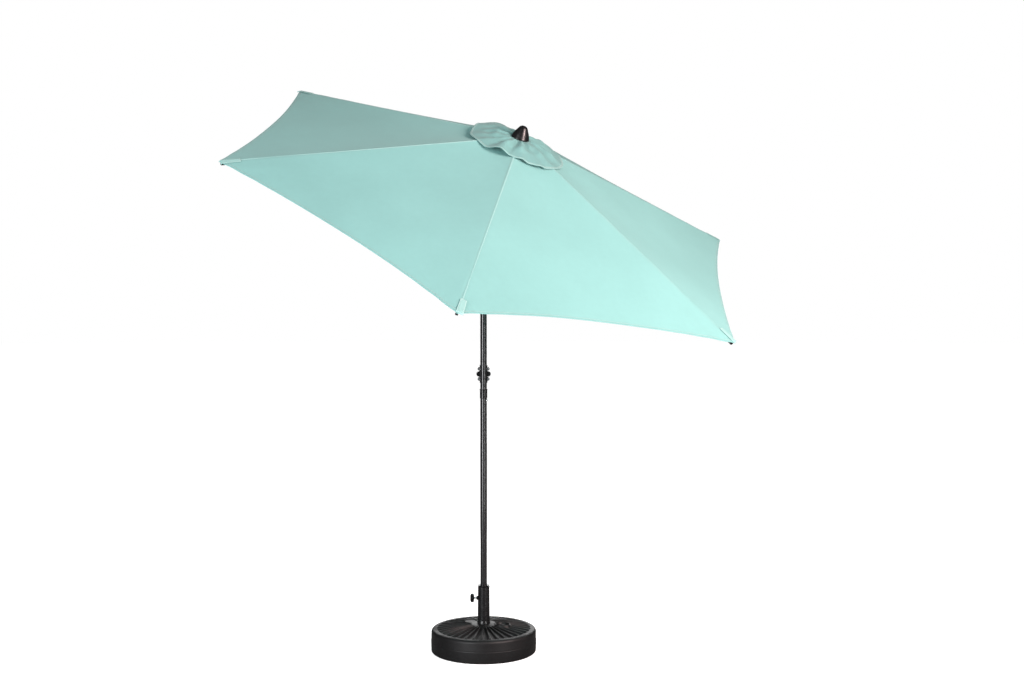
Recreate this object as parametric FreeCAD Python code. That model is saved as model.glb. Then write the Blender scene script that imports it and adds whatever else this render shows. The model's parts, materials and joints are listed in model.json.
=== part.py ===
import FreeCAD, Part
import math
import os

# Patio umbrella on a fillable round base. Millimetres, +Z up.
# Origin: centre of the base's underside, on the mast's axis. The canopy leans towards +X,
# about a tilt pin that lies along Y. Everything above the tilt pin is drawn upright in its
# own "head" frame, whose origin is the tilt pin and whose Z is the canopy's axis.

# ---------------------------------------------------------------- driving dimensions
BASE_RADIUS = 250.0
BASE_RIM_HEIGHT = 107.0
BASE_DOME_RISE = 25.0
BASE_WALL = 4.0
BASE_EDGE_RADIUS = 14.0
GROOVE_COUNT = 36
GROOVE_RADIUS = 5.0
GROOVE_DEPTH = 2.2
GROOVE_START = 82.0
GROOVE_END = 208.0

FILLER_DISTANCE = 91.0
FILLER_AZIMUTH = 40.0
FILLER_RIM_RADIUS = 38.0
FILLER_HOLE_RADIUS = 19.0
FILLER_RIM_RISE = 5.0
FILLER_NECK_DEPTH = 22.0
FILLER_SEAT_DEPTH = 7.0
FILLER_CAP_WALL = 2.5

SLEEVE_RADIUS = 28.8
SLEEVE_TOP_RADIUS = 27.4
SLEEVE_WALL = 4.0
SLEEVE_TOP_HEIGHT = 304.0
SLEEVE_FOOT_HEIGHT = 30.0
SLEEVE_FLARE = 2.5
SLEEVE_MOUTH_LIP = 1.0
COLLAR_RISE = 10.0
COLLAR_LIP = 2.2
COLLAR_TOP_LIP = 0.8
COLLAR_NECK = 4.0
COLLAR_SKIRT = 24.0
CUP_WALL_HEIGHT = 20.0

CLAMP_HEIGHT = 251.0
CLAMP_AZIMUTH = 232.5
CLAMP_STUD_RADIUS = 4.0
CLAMP_KNOB_RADIUS = 21.0
CLAMP_KNOB_THICKNESS = 19.0
CLAMP_KNOB_DISTANCE = 45.0
CLAMP_LOBES = 6
CLAMP_BOSS_RADIUS = 9.5
CLAMP_BOSS_REACH = 6.0

MAST_RADIUS = 16.0
MAST_WALL = 1.2
MAST_FOOT_HEIGHT = 46.0
MAST_JOINT_HEIGHT = 1246.0
MAST_OVERLAP = 130.0
FOOT_FLANGE = 4.0
FOOT_PLUG = 22.0
JOINT_COLLAR_LENGTH = 45.0
JOINT_COLLAR_WALL = 1.8
JOINT_COLLAR_LIP = 1.6

SNAP_HEIGHT = 1193.0
SNAP_AZIMUTH = 28.0
SNAP_BUTTON_RADIUS = 4.0
SNAP_BUTTON_PROUD = 4.0
SNAP_BUTTON_ROOT = 5.0
SNAP_CROWN = 1.6
SNAP_SPRING_HALF = 4.0
SNAP_SPRING_THICKNESS = 0.8
SNAP_SPRING_HEIGHT = 40.0

CRANK_HEIGHT = 1317.0
CRANK_AZIMUTH = 143.0
CRANK_HALF_HEIGHT = 42.0
CRANK_SEAT = 2.0
CRANK_SIDE_MARGIN = 4.5
CRANK_SPLIT_MARGIN = 8.0
CRANK_COVER_DEPTH = 20.0
CRANK_WALL = 2.6
CRANK_LOBE_RADIUS = 8.0
CRANK_LOBE_RISE = 24.0
CRANK_NOSE_MARGIN = 0.5
CRANK_NOSE_RADIUS = 13.0
CASE_SCREW_RADIUS = 1.5
CASE_SCREW_HEAD_RADIUS = 3.4
CASE_SCREW_HEAD_HEIGHT = 2.0
CASE_SCREW_DEPTH = 8.0
SPINDLE_RADIUS = 4.0
DRUM_RADIUS = 11.0
DRUM_FLANGE = 2.0
DRUM_GROOVE = 3.0
DRUM_GAP = 4.0
ARM_LENGTH = 88.0
ARM_THICKNESS = 6.0
ARM_WIDTH = 16.0
ARM_GAP = 1.0
GRIP_PIN_RADIUS = 3.0
GRIP_PIN_STOP_RADIUS = 5.0
GRIP_PIN_STOP = 2.0
GRIP_RADIUS = 10.0
GRIP_LENGTH = 46.0

TILT_HEIGHT = 1933.0
TILT_ANGLE = 30.2
TILT_DISC_RADIUS = 18.0
TILT_BODY_MARGIN = 4.0
TILT_WEB = 4.0
TILT_TONGUE_HALF = 7.5
TILT_PIN_RADIUS = 4.0
TILT_BUTTON_RADIUS = 8.0
TILT_BUTTON_PROUD = 6.0
TILT_BUTTON_DROP = 15.0
TILT_BUTTON_ROOT = 12.0
TILT_CHEEK_INSET = 2.0
TILT_PIN_HEAD = 2.5
TILT_PIN_HEAD_LIP = 3.0
YOKE_LENGTH = 62.0
YOKE_SOCKET_DEPTH = 32.0
KNUCKLE_LENGTH = 28.0
KNUCKLE_FLOOR = 8.0
SPRING_TURNS = 4
SPRING_WIRE = 0.8

CANOPY_RADIUS = 1320.0
CANOPY_DROP = 346.0
CANOPY_APEX = 548.0
CANOPY_THICKNESS = 1.2
HEM_SAG = 45.0
VENT_RADIUS = 130.0
FLAP_RADIUS = 212.0
FLAP_LIFT = 3.0

RIB_COUNT = 6
RIB_FIRST_AZIMUTH = 18.9
RIB_WIDTH = 12.0
RIB_HEIGHT = 16.0
RIB_WALL = 1.0
RIB_PIVOT_RADIUS = 35.0
RIB_TIP_RADIUS = 1312.0
RIB_TIP_LENGTH = 14.0
RIB_TIP_PLUG = 18.0
RIB_CORNER = 3.0
STRUT_LENGTH = 225.0
STRUT_HEIGHT = 12.0
STRUT_PLATE = 1.6
STRUT_BACK_START = 22.0
STRUT_BACK_END = 36.0
RIVET_HEAD = 1.2
RIVET_HEAD_LIP = 1.4
PIN_RADIUS = 2.0

HUB_RADIUS = 46.0
HUB_BELOW = 12.0
HUB_ABOVE = 5.0
HUB_SKIRT = 28.0
HUB_SKIRT_WALL = 3.5
HUB_CAP = 2.0
RUNNER_WALL = 5.7
RUNNER_FLANGE = 3.0
RUNNER_LUG_RADIUS = 6.0
RUNNER_BELOW = 15.0
RUNNER_ABOVE = 24.0
PULLEY_RADIUS = 9.0
PULLEY_DROP = 58.0
FLAP_HOLE_RADIUS = 4.0
FINIAL_RADIUS = 41.0
FINIAL_NOSE_RADIUS = 11.0
FINIAL_WAIST_RADIUS = 21.0
FINIAL_WAIST_HEIGHT = 23.0
FINIAL_HEIGHT = 66.0
FINIAL_STUD_RADIUS = 3.0

PIN_CLEARANCE = 0.05
OPEN_PIVOT_CLEARANCE = 0.3
SIDE_CLEARANCE = 0.4
LOOSE = 0.3
SPIGOT_CLEARANCE = 0.2
FABRIC_CLEARANCE = 1.0

# ---------------------------------------------------------------- worked-out sizes
BASE_TOP_HEIGHT = BASE_RIM_HEIGHT + BASE_DOME_RISE
SLEEVE_BORE = SLEEVE_RADIUS - SLEEVE_WALL
SLOPE = math.atan2(CANOPY_DROP, CANOPY_RADIUS)
RIB_SLOPE = math.degrees(SLOPE)
RIB_SINK = (RIB_HEIGHT / 2 + FABRIC_CLEARANCE) / math.cos(SLOPE)
HUB_HEIGHT = CANOPY_APEX - RIB_PIVOT_RADIUS * math.tan(SLOPE) - RIB_SINK
RIB_LENGTH = (RIB_TIP_RADIUS - RIB_PIVOT_RADIUS) / math.cos(SLOPE)
RUNNER_HEIGHT = HUB_HEIGHT - 2 * STRUT_LENGTH * math.sin(SLOPE)
MAST_BORE = MAST_RADIUS - MAST_WALL
SPIGOT_RADIUS = MAST_BORE - SPIGOT_CLEARANCE
SPIGOT_BORE = SPIGOT_RADIUS - MAST_WALL
CRANK_LOBE_SIDE = MAST_RADIUS + CRANK_SIDE_MARGIN
CRANK_NOSE_REACH = CRANK_LOBE_SIDE + CRANK_NOSE_MARGIN
CRANK_SPLIT = MAST_RADIUS + CRANK_SPLIT_MARGIN
CRANK_DEPTH = CRANK_SPLIT + CRANK_COVER_DEPTH
TILT_BODY_RADIUS = MAST_RADIUS + TILT_BODY_MARGIN
TILT_ROOT = TILT_DISC_RADIUS + TILT_WEB
TILT_BUTTON_HEIGHT = TILT_HEIGHT - TILT_ROOT - TILT_BUTTON_DROP
PULLEY_HEIGHT = HUB_HEIGHT - PULLEY_DROP
SLOT_HALF = RIB_WIDTH / 2 + SIDE_CLEARANCE
RIB_ROOM = math.hypot(RIB_HEIGHT / 2, RIB_HEIGHT / 2) + 1.2
RIB_AZIMUTHS = [RIB_FIRST_AZIMUTH + 360.0 / RIB_COUNT * i for i in range(RIB_COUNT)]

X = FreeCAD.Vector(1, 0, 0)
Y = FreeCAD.Vector(0, 1, 0)
Z = FreeCAD.Vector(0, 0, 1)


def point(x, y, z):
    return FreeCAD.Vector(x, y, z)


# ---------------------------------------------------------------- shared helpers
def cylinder(radius, low, high):
    """A cylinder on Z between two heights."""
    return Part.makeCylinder(radius, high - low, point(0, 0, low))


def tube(outer, inner, low, high):
    """A tube on Z between two heights."""
    return cylinder(outer, low, high).cut(cylinder(inner, low - 1, high + 1))


def rod(radius, start, end):
    """A cylinder from one point to another."""
    run = end - start
    return Part.makeCylinder(radius, run.Length, start, run)


def box(x0, x1, y0, y1, z0, z1):
    return Part.makeBox(x1 - x0, y1 - y0, z1 - z0, point(x0, y0, z0))


def turned(outline):
    """A solid of revolution about Z from (radius, height) points, closed in order."""
    corners = [point(r, 0, z) for r, z in outline]
    wire = Part.makePolygon(corners + corners[:1])
    return Part.Face(wire).revolve(point(0, 0, 0), Z, 360)


def spun(edges):
    """A solid of revolution about Z from connected edges in the XZ plane."""
    wire = Part.Wire(Part.__sortEdges__(edges))
    return Part.Face(wire).revolve(point(0, 0, 0), Z, 360)


def placed(shape, placement):
    """A copy of the shape moved by a placement."""
    moved = shape.copy()
    moved.Placement = placement.multiply(moved.Placement)
    return moved


def turned_about_z(shape, azimuth):
    return placed(shape, FreeCAD.Placement(point(0, 0, 0), FreeCAD.Rotation(Z, azimuth)))


def joined(shapes):
    """The union of several touching shapes, without leftover seams."""
    whole = shapes[0].fuse(shapes[1:])
    return whole.removeSplitter()


def head(shape):
    """From the head frame to the row frame: leaned about the tilt pin."""
    return placed(shape, FreeCAD.Placement(point(0, 0, TILT_HEIGHT), FreeCAD.Rotation(Y, TILT_ANGLE)))


def from_mast_side(shape, azimuth, height):
    """A piece drawn with +X outward, put at an azimuth and height on the mast."""
    return placed(shape, FreeCAD.Placement(point(0, 0, height), FreeCAD.Rotation(Z, azimuth)))


def raised(shape, height):
    return placed(shape, FreeCAD.Placement(point(0, 0, height), FreeCAD.Rotation()))


def save(name, shape):
    shape.exportStep("parts/" + name + ".step")


# ---------------------------------------------------------------- base
def dome_height(radius):
    """Height of the base's sloping top at a radius."""
    run = BASE_RADIUS - BASE_EDGE_RADIUS - SLEEVE_RADIUS
    return BASE_TOP_HEIGHT - BASE_DOME_RISE * (radius - SLEEVE_RADIUS) / run


def drum_outline(inset):
    """Half section of the base's drum, moved inwards by an inset, without its well."""
    outer = BASE_RADIUS - inset
    low = inset
    edge = BASE_EDGE_RADIUS - inset
    rim = BASE_RIM_HEIGHT - inset
    top = BASE_TOP_HEIGHT - inset
    well = SLEEVE_RADIUS + LOOSE + inset
    foot = BASE_WALL + inset
    slant = math.sqrt(0.5)
    shoulder = point(outer - edge, 0, rim)
    side = point(outer, 0, rim - edge)
    crown = point(outer - edge + edge * slant, 0, rim - edge + edge * slant)
    heel = point(outer, 0, low + foot)
    toe = point(outer - foot, 0, low)
    instep = point(outer - foot + foot * slant, 0, low + foot - foot * slant)
    return [
        Part.LineSegment(point(well, 0, low), toe).toShape(),
        Part.Arc(toe, instep, heel).toShape(),
        Part.LineSegment(heel, side).toShape(),
        Part.Arc(side, crown, shoulder).toShape(),
        Part.LineSegment(shoulder, point(well, 0, top)).toShape(),
        Part.LineSegment(point(well, 0, top), point(well, 0, low)).toShape(),
    ]


def groove():
    """One round-ended radial groove cutter, lying along the dome's slope."""
    lift = GROOVE_RADIUS - GROOVE_DEPTH
    start = point(GROOVE_START, 0, dome_height(GROOVE_START) + lift)
    end = point(GROOVE_END, 0, dome_height(GROOVE_END) + lift)
    ball = Part.makeSphere(GROOVE_RADIUS, start)
    far_ball = Part.makeSphere(GROOVE_RADIUS, end)
    return rod(GROOVE_RADIUS, start, end).fuse([ball, far_ball])


def filler_axis():
    angle = math.radians(FILLER_AZIMUTH)
    return point(FILLER_DISTANCE * math.cos(angle), FILLER_DISTANCE * math.sin(angle), 0)


def at_filler(shape):
    return placed(shape, FreeCAD.Placement(filler_axis(), FreeCAD.Rotation()))


def filler_heights():
    """Heights of the filler's rim and of the underside of its neck."""
    rim = dome_height(FILLER_DISTANCE) + FILLER_RIM_RISE
    return rim, rim - FILLER_NECK_DEPTH


def groove_clears_filler(azimuth):
    """True where a groove stays off the filler's rim."""
    reach = math.asin((FILLER_RIM_RADIUS + GROOVE_RADIUS) / FILLER_DISTANCE)
    away = abs((azimuth - FILLER_AZIMUTH + 180) % 360 - 180)
    return away > math.degrees(reach)


def make_base_shell():
    drum = spun(drum_outline(0)).cut(spun(drum_outline(BASE_WALL)))
    rim, neck = filler_heights()
    boss = at_filler(cylinder(FILLER_RIM_RADIUS, neck, rim))
    opening = at_filler(cylinder(FILLER_HOLE_RADIUS + LOOSE, neck - 1, rim + 1))
    cutters = []
    for i in range(GROOVE_COUNT):
        azimuth = 360.0 / GROOVE_COUNT * i
        if groove_clears_filler(azimuth):
            cutters.append(turned_about_z(groove(), azimuth))
    shell = drum.cut(cutters)
    floor = turned([(0, 0), (SLEEVE_RADIUS + LOOSE + 1, 0), (SLEEVE_RADIUS + LOOSE + 1, 10), (0, 10)])
    return shell.fuse([boss, floor]).cut(opening).removeSplitter()


def make_filler_cap():
    rim, neck = filler_heights()
    seat = rim - FILLER_SEAT_DEPTH
    plug = tube(FILLER_HOLE_RADIUS, FILLER_HOLE_RADIUS - FILLER_CAP_WALL, neck + 4, seat)
    lid = cylinder(FILLER_HOLE_RADIUS, seat - FILLER_CAP_WALL, seat)
    grip = box(-FILLER_HOLE_RADIUS + 4, FILLER_HOLE_RADIUS - 4, -2, 2, seat - 1, seat + 6)
    return at_filler(joined([plug, lid, grip]))


def make_sleeve():
    top = SLEEVE_TOP_HEIGHT
    bore = SLEEVE_BORE
    body = turned([
        (bore, SLEEVE_FOOT_HEIGHT),
        (SLEEVE_RADIUS, SLEEVE_FOOT_HEIGHT),
        (SLEEVE_RADIUS, BASE_TOP_HEIGHT),
        (SLEEVE_RADIUS + SLEEVE_FLARE, BASE_TOP_HEIGHT + LOOSE),
        (SLEEVE_RADIUS + 0.6 * SLEEVE_FLARE, BASE_TOP_HEIGHT + 6),
        (SLEEVE_RADIUS, BASE_TOP_HEIGHT + 12),
        (SLEEVE_TOP_RADIUS, top),
        (bore - SLEEVE_MOUTH_LIP, top),
    ])
    boss_end = point(SLEEVE_RADIUS + CLAMP_BOSS_REACH, 0, CLAMP_HEIGHT)
    boss = rod(CLAMP_BOSS_RADIUS, point(SLEEVE_BORE + 1, 0, CLAMP_HEIGHT), boss_end)
    boss = turned_about_z(boss, CLAMP_AZIMUTH)
    hole = rod(CLAMP_STUD_RADIUS + PIN_CLEARANCE, point(0, 0, CLAMP_HEIGHT), boss_end + X)
    hole = turned_about_z(hole, CLAMP_AZIMUTH)
    return body.fuse(boss).cut(hole).removeSplitter()


def make_sleeve_collar():
    """The two-lipped bush that closes the sleeve's mouth and centres the mast."""
    low = SLEEVE_TOP_HEIGHT
    bore = MAST_RADIUS + LOOSE
    skirt = SLEEVE_BORE - SLEEVE_MOUTH_LIP - LOOSE
    return turned([
        (bore, low - COLLAR_SKIRT),
        (skirt, low - COLLAR_SKIRT),
        (skirt, low),
        (SLEEVE_TOP_RADIUS + COLLAR_LIP, low),
        (SLEEVE_TOP_RADIUS + COLLAR_LIP, low + 0.25 * COLLAR_RISE),
        (SLEEVE_TOP_RADIUS - COLLAR_NECK, low + 0.45 * COLLAR_RISE),
        (SLEEVE_TOP_RADIUS - COLLAR_NECK, low + 0.7 * COLLAR_RISE),
        (SLEEVE_TOP_RADIUS + COLLAR_TOP_LIP, low + 0.84 * COLLAR_RISE),
        (SLEEVE_TOP_RADIUS + COLLAR_TOP_LIP, low + COLLAR_RISE),
        (bore, low + 0.9 * COLLAR_RISE),
    ])


def make_mast_cup():
    """The cup at the bottom of the sleeve that the mast's foot stands in."""
    outer = SLEEVE_BORE - LOOSE
    bore = MAST_RADIUS + LOOSE
    floor = MAST_FOOT_HEIGHT - FOOT_FLANGE - LOOSE
    return turned([
        (0, SLEEVE_FOOT_HEIGHT),
        (outer, SLEEVE_FOOT_HEIGHT),
        (outer, MAST_FOOT_HEIGHT + CUP_WALL_HEIGHT),
        (bore, MAST_FOOT_HEIGHT + CUP_WALL_HEIGHT),
        (bore, floor),
        (0, floor),
    ])


# ---------------------------------------------------------------- clamp screw
def make_clamp_stud():
    tip = MAST_RADIUS + LOOSE
    stud = rod(CLAMP_STUD_RADIUS, point(tip, 0, 0), point(CLAMP_KNOB_DISTANCE, 0, 0))
    return from_mast_side(stud, CLAMP_AZIMUTH, CLAMP_HEIGHT)


def make_clamp_knob():
    """A lobed knob whose lobes are cylinders around a disc."""
    low = CLAMP_KNOB_DISTANCE
    high = low + CLAMP_KNOB_THICKNESS
    lobe_radius = CLAMP_KNOB_RADIUS * 0.34
    ring = CLAMP_KNOB_RADIUS - lobe_radius
    pieces = [rod(ring, point(low, 0, 0), point(high, 0, 0))]
    for i in range(CLAMP_LOBES):
        angle = 2 * math.pi * i / CLAMP_LOBES
        y = ring * math.cos(angle)
        z = ring * math.sin(angle)
        pieces.append(rod(lobe_radius, point(low + 2, y, z), point(high - 2, y, z)))
    return from_mast_side(joined(pieces), CLAMP_AZIMUTH, CLAMP_HEIGHT)


# ---------------------------------------------------------------- mast
def snap_cutter(radius):
    start = point(MAST_BORE - 6, 0, 0)
    hole = rod(radius, start, point(MAST_RADIUS + 8, 0, 0))
    return from_mast_side(hole, SNAP_AZIMUTH, SNAP_HEIGHT)


def make_lower_pole():
    pole = tube(MAST_RADIUS, MAST_BORE, MAST_FOOT_HEIGHT, MAST_JOINT_HEIGHT)
    return pole.cut(snap_cutter(SNAP_BUTTON_RADIUS + LOOSE))


def make_pole_foot():
    """Plug that closes the lower pole and stands in the cup."""
    return turned([
        (0, MAST_FOOT_HEIGHT - FOOT_FLANGE),
        (MAST_RADIUS, MAST_FOOT_HEIGHT - FOOT_FLANGE),
        (MAST_RADIUS, MAST_FOOT_HEIGHT),
        (MAST_BORE, MAST_FOOT_HEIGHT),
        (MAST_BORE, MAST_FOOT_HEIGHT + FOOT_PLUG),
        (0, MAST_FOOT_HEIGHT + FOOT_PLUG),
    ])


def make_joint_collar():
    """Trim ring on the lower pole's mouth, with a small lip at its top."""
    outer = MAST_RADIUS + JOINT_COLLAR_WALL
    low = MAST_JOINT_HEIGHT - JOINT_COLLAR_LENGTH
    return turned([
        (MAST_RADIUS, low),
        (outer - 0.6, low),
        (outer, low + 2),
        (outer, MAST_JOINT_HEIGHT - 5),
        (outer + JOINT_COLLAR_LIP, MAST_JOINT_HEIGHT - 3),
        (outer + JOINT_COLLAR_LIP, MAST_JOINT_HEIGHT),
        (MAST_RADIUS, MAST_JOINT_HEIGHT),
    ])


def make_upper_pole():
    """Upper mast tube: a reduced spigot below, full size above the joint."""
    top = TILT_HEIGHT - TILT_ROOT - YOKE_LENGTH + YOKE_SOCKET_DEPTH
    pole = turned([
        (SPIGOT_BORE, MAST_JOINT_HEIGHT - MAST_OVERLAP),
        (SPIGOT_RADIUS, MAST_JOINT_HEIGHT - MAST_OVERLAP),
        (SPIGOT_RADIUS, MAST_JOINT_HEIGHT),
        (MAST_RADIUS, MAST_JOINT_HEIGHT),
        (MAST_RADIUS, top),
        (MAST_BORE, top),
        (MAST_BORE, MAST_JOINT_HEIGHT + 3),
        (SPIGOT_BORE, MAST_JOINT_HEIGHT),
    ])
    return pole.cut(snap_cutter(SNAP_BUTTON_RADIUS + LOOSE))


def make_snap_button():
    """Domed stainless button that locks the two poles together."""
    shoulder = point(MAST_RADIUS + SNAP_BUTTON_PROUD - SNAP_CROWN, 0, 0)
    stem = rod(SNAP_BUTTON_RADIUS, point(SPIGOT_BORE - SNAP_BUTTON_ROOT, 0, 0), shoulder)
    crown = Part.makeCone(SNAP_BUTTON_RADIUS, SNAP_BUTTON_RADIUS - 1.4, SNAP_CROWN, shoulder, X)
    return from_mast_side(stem.fuse(crown).removeSplitter(), SNAP_AZIMUTH, SNAP_HEIGHT)


def make_snap_spring():
    """Bent strip that pushes the button outwards from inside the spigot."""
    half = SNAP_SPRING_HALF
    thick = SNAP_SPRING_THICKNESS
    top = SNAP_SPRING_HEIGHT
    outer = SPIGOT_BORE - SNAP_BUTTON_ROOT - LOOSE
    front = box(outer - thick, outer, -half, half, -14, top)
    bend = box(-outer, outer, -half, half, top, top + thick)
    back = box(-outer, -outer + thick, -half, half, -30, top)
    return from_mast_side(joined([front, bend, back]), SNAP_AZIMUTH, SNAP_HEIGHT)


# ---------------------------------------------------------------- crank
def crank_block(low, high):
    """The case's outline pushed out between two distances: a column, four lobes, two noses."""
    half = CRANK_LOBE_SIDE - 2
    shapes = [box(low, high, -half, half, -CRANK_HALF_HEIGHT, CRANK_HALF_HEIGHT)]
    for side in (-1, 1):
        nose = side * CRANK_NOSE_REACH
        shapes.append(rod(CRANK_NOSE_RADIUS, point(low, nose, 0), point(high, nose, 0)))
        for level in (-1, 1):
            centre = point(low, side * CRANK_LOBE_SIDE, level * CRANK_LOBE_RISE)
            shapes.append(rod(CRANK_LOBE_RADIUS, centre, centre + X * (high - low)))
    return joined(shapes)


def screw_centres():
    side = CRANK_LOBE_SIDE + 1
    return [(y, z) for y in (-side, side) for z in (-CRANK_LOBE_RISE, CRANK_LOBE_RISE)]


def case_screw_holes():
    end = CRANK_SPLIT + CASE_SCREW_DEPTH + 1
    return [rod(CASE_SCREW_RADIUS, point(-4, y, z), point(end, y, z)) for y, z in screw_centres()]


def drum_bay(low, high):
    return rod(DRUM_RADIUS + DRUM_GAP, point(low, 0, 0), point(high, 0, 0))


def make_crank_housing():
    """Inner half of the crank case, saddled on the mast."""
    block = crank_block(CRANK_SEAT, CRANK_SPLIT)
    mast = cylinder(MAST_RADIUS, -CRANK_HALF_HEIGHT - 1, CRANK_HALF_HEIGHT + 1)
    shell = block.cut([mast, drum_bay(MAST_RADIUS + 1.5, CRANK_SPLIT + 1)] + case_screw_holes())
    return from_mast_side(shell, CRANK_AZIMUTH, CRANK_HEIGHT)


def make_crank_cover():
    """Outer half of the crank case, with the spindle's bearing."""
    low = CRANK_SPLIT
    block = crank_block(low, CRANK_DEPTH)
    bay = drum_bay(low - 1, CRANK_DEPTH - CRANK_WALL)
    bearing = rod(SPINDLE_RADIUS + PIN_CLEARANCE, point(low, 0, 0), point(CRANK_DEPTH + 1, 0, 0))
    shell = block.cut([bay, bearing] + case_screw_holes())
    return from_mast_side(shell, CRANK_AZIMUTH, CRANK_HEIGHT)


def make_case_screws():
    """Four screws, heads towards the mast's front."""
    screws = []
    neck = CASE_SCREW_HEAD_HEIGHT
    for y, z in screw_centres():
        head_part = rod(CASE_SCREW_HEAD_RADIUS, point(0, y, z), point(neck, y, z))
        slot = box(-0.5, 0.8, y - 3, y + 3, z - 0.5, z + 0.5)
        shank = rod(CASE_SCREW_RADIUS, point(neck, y, z), point(CRANK_SPLIT + CASE_SCREW_DEPTH, y, z))
        screws.append(head_part.fuse(shank).cut(slot).removeSplitter())
    return from_mast_side(Part.makeCompound(screws), CRANK_AZIMUTH, CRANK_HEIGHT)


def make_crank_spindle():
    """Spindle and cord drum in one."""
    start = MAST_RADIUS + 3.0
    drum_end = CRANK_DEPTH - CRANK_WALL - 1
    arm_end = CRANK_DEPTH + ARM_GAP + ARM_THICKNESS
    core = rod(DRUM_RADIUS - DRUM_GROOVE, point(start, 0, 0), point(drum_end, 0, 0))
    inner_flange = rod(DRUM_RADIUS, point(start, 0, 0), point(start + DRUM_FLANGE, 0, 0))
    outer_flange = rod(DRUM_RADIUS, point(drum_end - DRUM_FLANGE, 0, 0), point(drum_end, 0, 0))
    stub = rod(SPINDLE_RADIUS, point(drum_end, 0, 0), point(arm_end, 0, 0))
    spindle = joined([core, inner_flange, outer_flange, stub])
    return from_mast_side(spindle, CRANK_AZIMUTH, CRANK_HEIGHT)


def make_crank_arm():
    """Arm that hangs down from the spindle and carries the grip's pin."""
    low = CRANK_DEPTH + ARM_GAP
    high = low + ARM_THICKNESS
    pin_end = high + GRIP_LENGTH + GRIP_PIN_STOP + 1
    half = ARM_WIDTH / 2
    end_half = half - 1
    top = rod(half, point(low, 0, 0), point(high, 0, 0))
    end = rod(end_half, point(low, 0, -ARM_LENGTH), point(high, 0, -ARM_LENGTH))
    web = box(low, high, -end_half, end_half, -ARM_LENGTH, 0)
    pin = rod(GRIP_PIN_RADIUS, point(high, 0, -ARM_LENGTH), point(pin_end, 0, -ARM_LENGTH))
    stop_start = point(pin_end - GRIP_PIN_STOP, 0, -ARM_LENGTH)
    stop = rod(GRIP_PIN_STOP_RADIUS, stop_start, point(pin_end, 0, -ARM_LENGTH))
    arm = joined([top, end, web, pin, stop])
    arm = arm.cut(rod(SPINDLE_RADIUS, point(low - 1, 0, 0), point(high + 1, 0, 0)))
    return from_mast_side(arm, CRANK_AZIMUTH, CRANK_HEIGHT)


def make_crank_grip():
    """Barrel grip that spins on the arm's pin."""
    low = CRANK_DEPTH + ARM_GAP + ARM_THICKNESS + LOOSE
    bore = GRIP_PIN_RADIUS + PIN_CLEARANCE
    end = GRIP_RADIUS - 2.5
    grip = turned([
        (bore, 0),
        (end, 0),
        (GRIP_RADIUS - 1, 4),
        (GRIP_RADIUS, 0.3 * GRIP_LENGTH),
        (GRIP_RADIUS - 1.5, 0.57 * GRIP_LENGTH),
        (GRIP_RADIUS, GRIP_LENGTH - 5),
        (end, GRIP_LENGTH),
        (bore, GRIP_LENGTH),
    ])
    grip = placed(grip, FreeCAD.Placement(point(low, 0, -ARM_LENGTH), FreeCAD.Rotation(Y, 90)))
    return from_mast_side(grip, CRANK_AZIMUTH, CRANK_HEIGHT)


# ---------------------------------------------------------------- tilt joint
def make_tilt_yoke():
    """Lower half of the tilt joint: a socket on the mast and two cheeks round the tongue."""
    root = -TILT_ROOT
    low = root - YOKE_LENGTH
    web_half = TILT_DISC_RADIUS - 4
    shapes = [cylinder(TILT_BODY_RADIUS, low, root)]
    for side in (-1, 1):
        near = side * (TILT_TONGUE_HALF + LOOSE)
        far = side * (TILT_BODY_RADIUS - TILT_CHEEK_INSET)
        y0 = min(near, far)
        y1 = max(near, far)
        web = box(-web_half, web_half, y0, y1, root - 1, 0)
        shapes.append(rod(TILT_DISC_RADIUS - 1, point(0, y0, 0), point(0, y1, 0)))
        shapes.append(web.common(cylinder(TILT_BODY_RADIUS, root - 2, 1)))
    socket = cylinder(MAST_RADIUS, low - 1, low + YOKE_SOCKET_DEPTH)
    pin = rod(TILT_PIN_RADIUS, Y * -TILT_BODY_RADIUS, Y * TILT_BODY_RADIUS)
    pocket = rod(TILT_BUTTON_RADIUS + LOOSE, point(-TILT_BODY_RADIUS - 1, 0, 0), point(2, 0, 0))
    yoke = joined(shapes).cut([socket, pin, raised(pocket, root - TILT_BUTTON_DROP)])
    return raised(yoke, TILT_HEIGHT)


def make_tilt_button():
    """Push button on the high side, which frees the tilt."""
    shoulder = point(1.5 - TILT_BODY_RADIUS - TILT_BUTTON_PROUD, 0, 0)
    body = rod(TILT_BUTTON_RADIUS, point(-TILT_BUTTON_ROOT, 0, 0), shoulder)
    crown = Part.makeCone(TILT_BUTTON_RADIUS, TILT_BUTTON_RADIUS - 1.5, 1.5, shoulder, X * -1)
    return raised(body.fuse(crown).removeSplitter(), TILT_BUTTON_HEIGHT)


def make_tilt_spring():
    """Coil that returns the button, drawn as stacked turns joined by a strip."""
    ring_radius = TILT_BUTTON_RADIUS - 2.5
    pitch = (TILT_BUTTON_ROOT - 2 * SPRING_WIRE) / SPRING_TURNS
    start = SPRING_WIRE + LOOSE - TILT_BUTTON_ROOT
    rings = []
    for i in range(SPRING_TURNS):
        rings.append(Part.makeTorus(ring_radius, SPRING_WIRE, point(start + pitch * i, 0, 0), X))
    last = point(start + pitch * (SPRING_TURNS - 1), 0, ring_radius)
    strip = rod(SPRING_WIRE * 0.7, point(start, 0, ring_radius), last)
    return raised(rings[0].fuse(rings[1:] + [strip]), TILT_BUTTON_HEIGHT)


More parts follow.
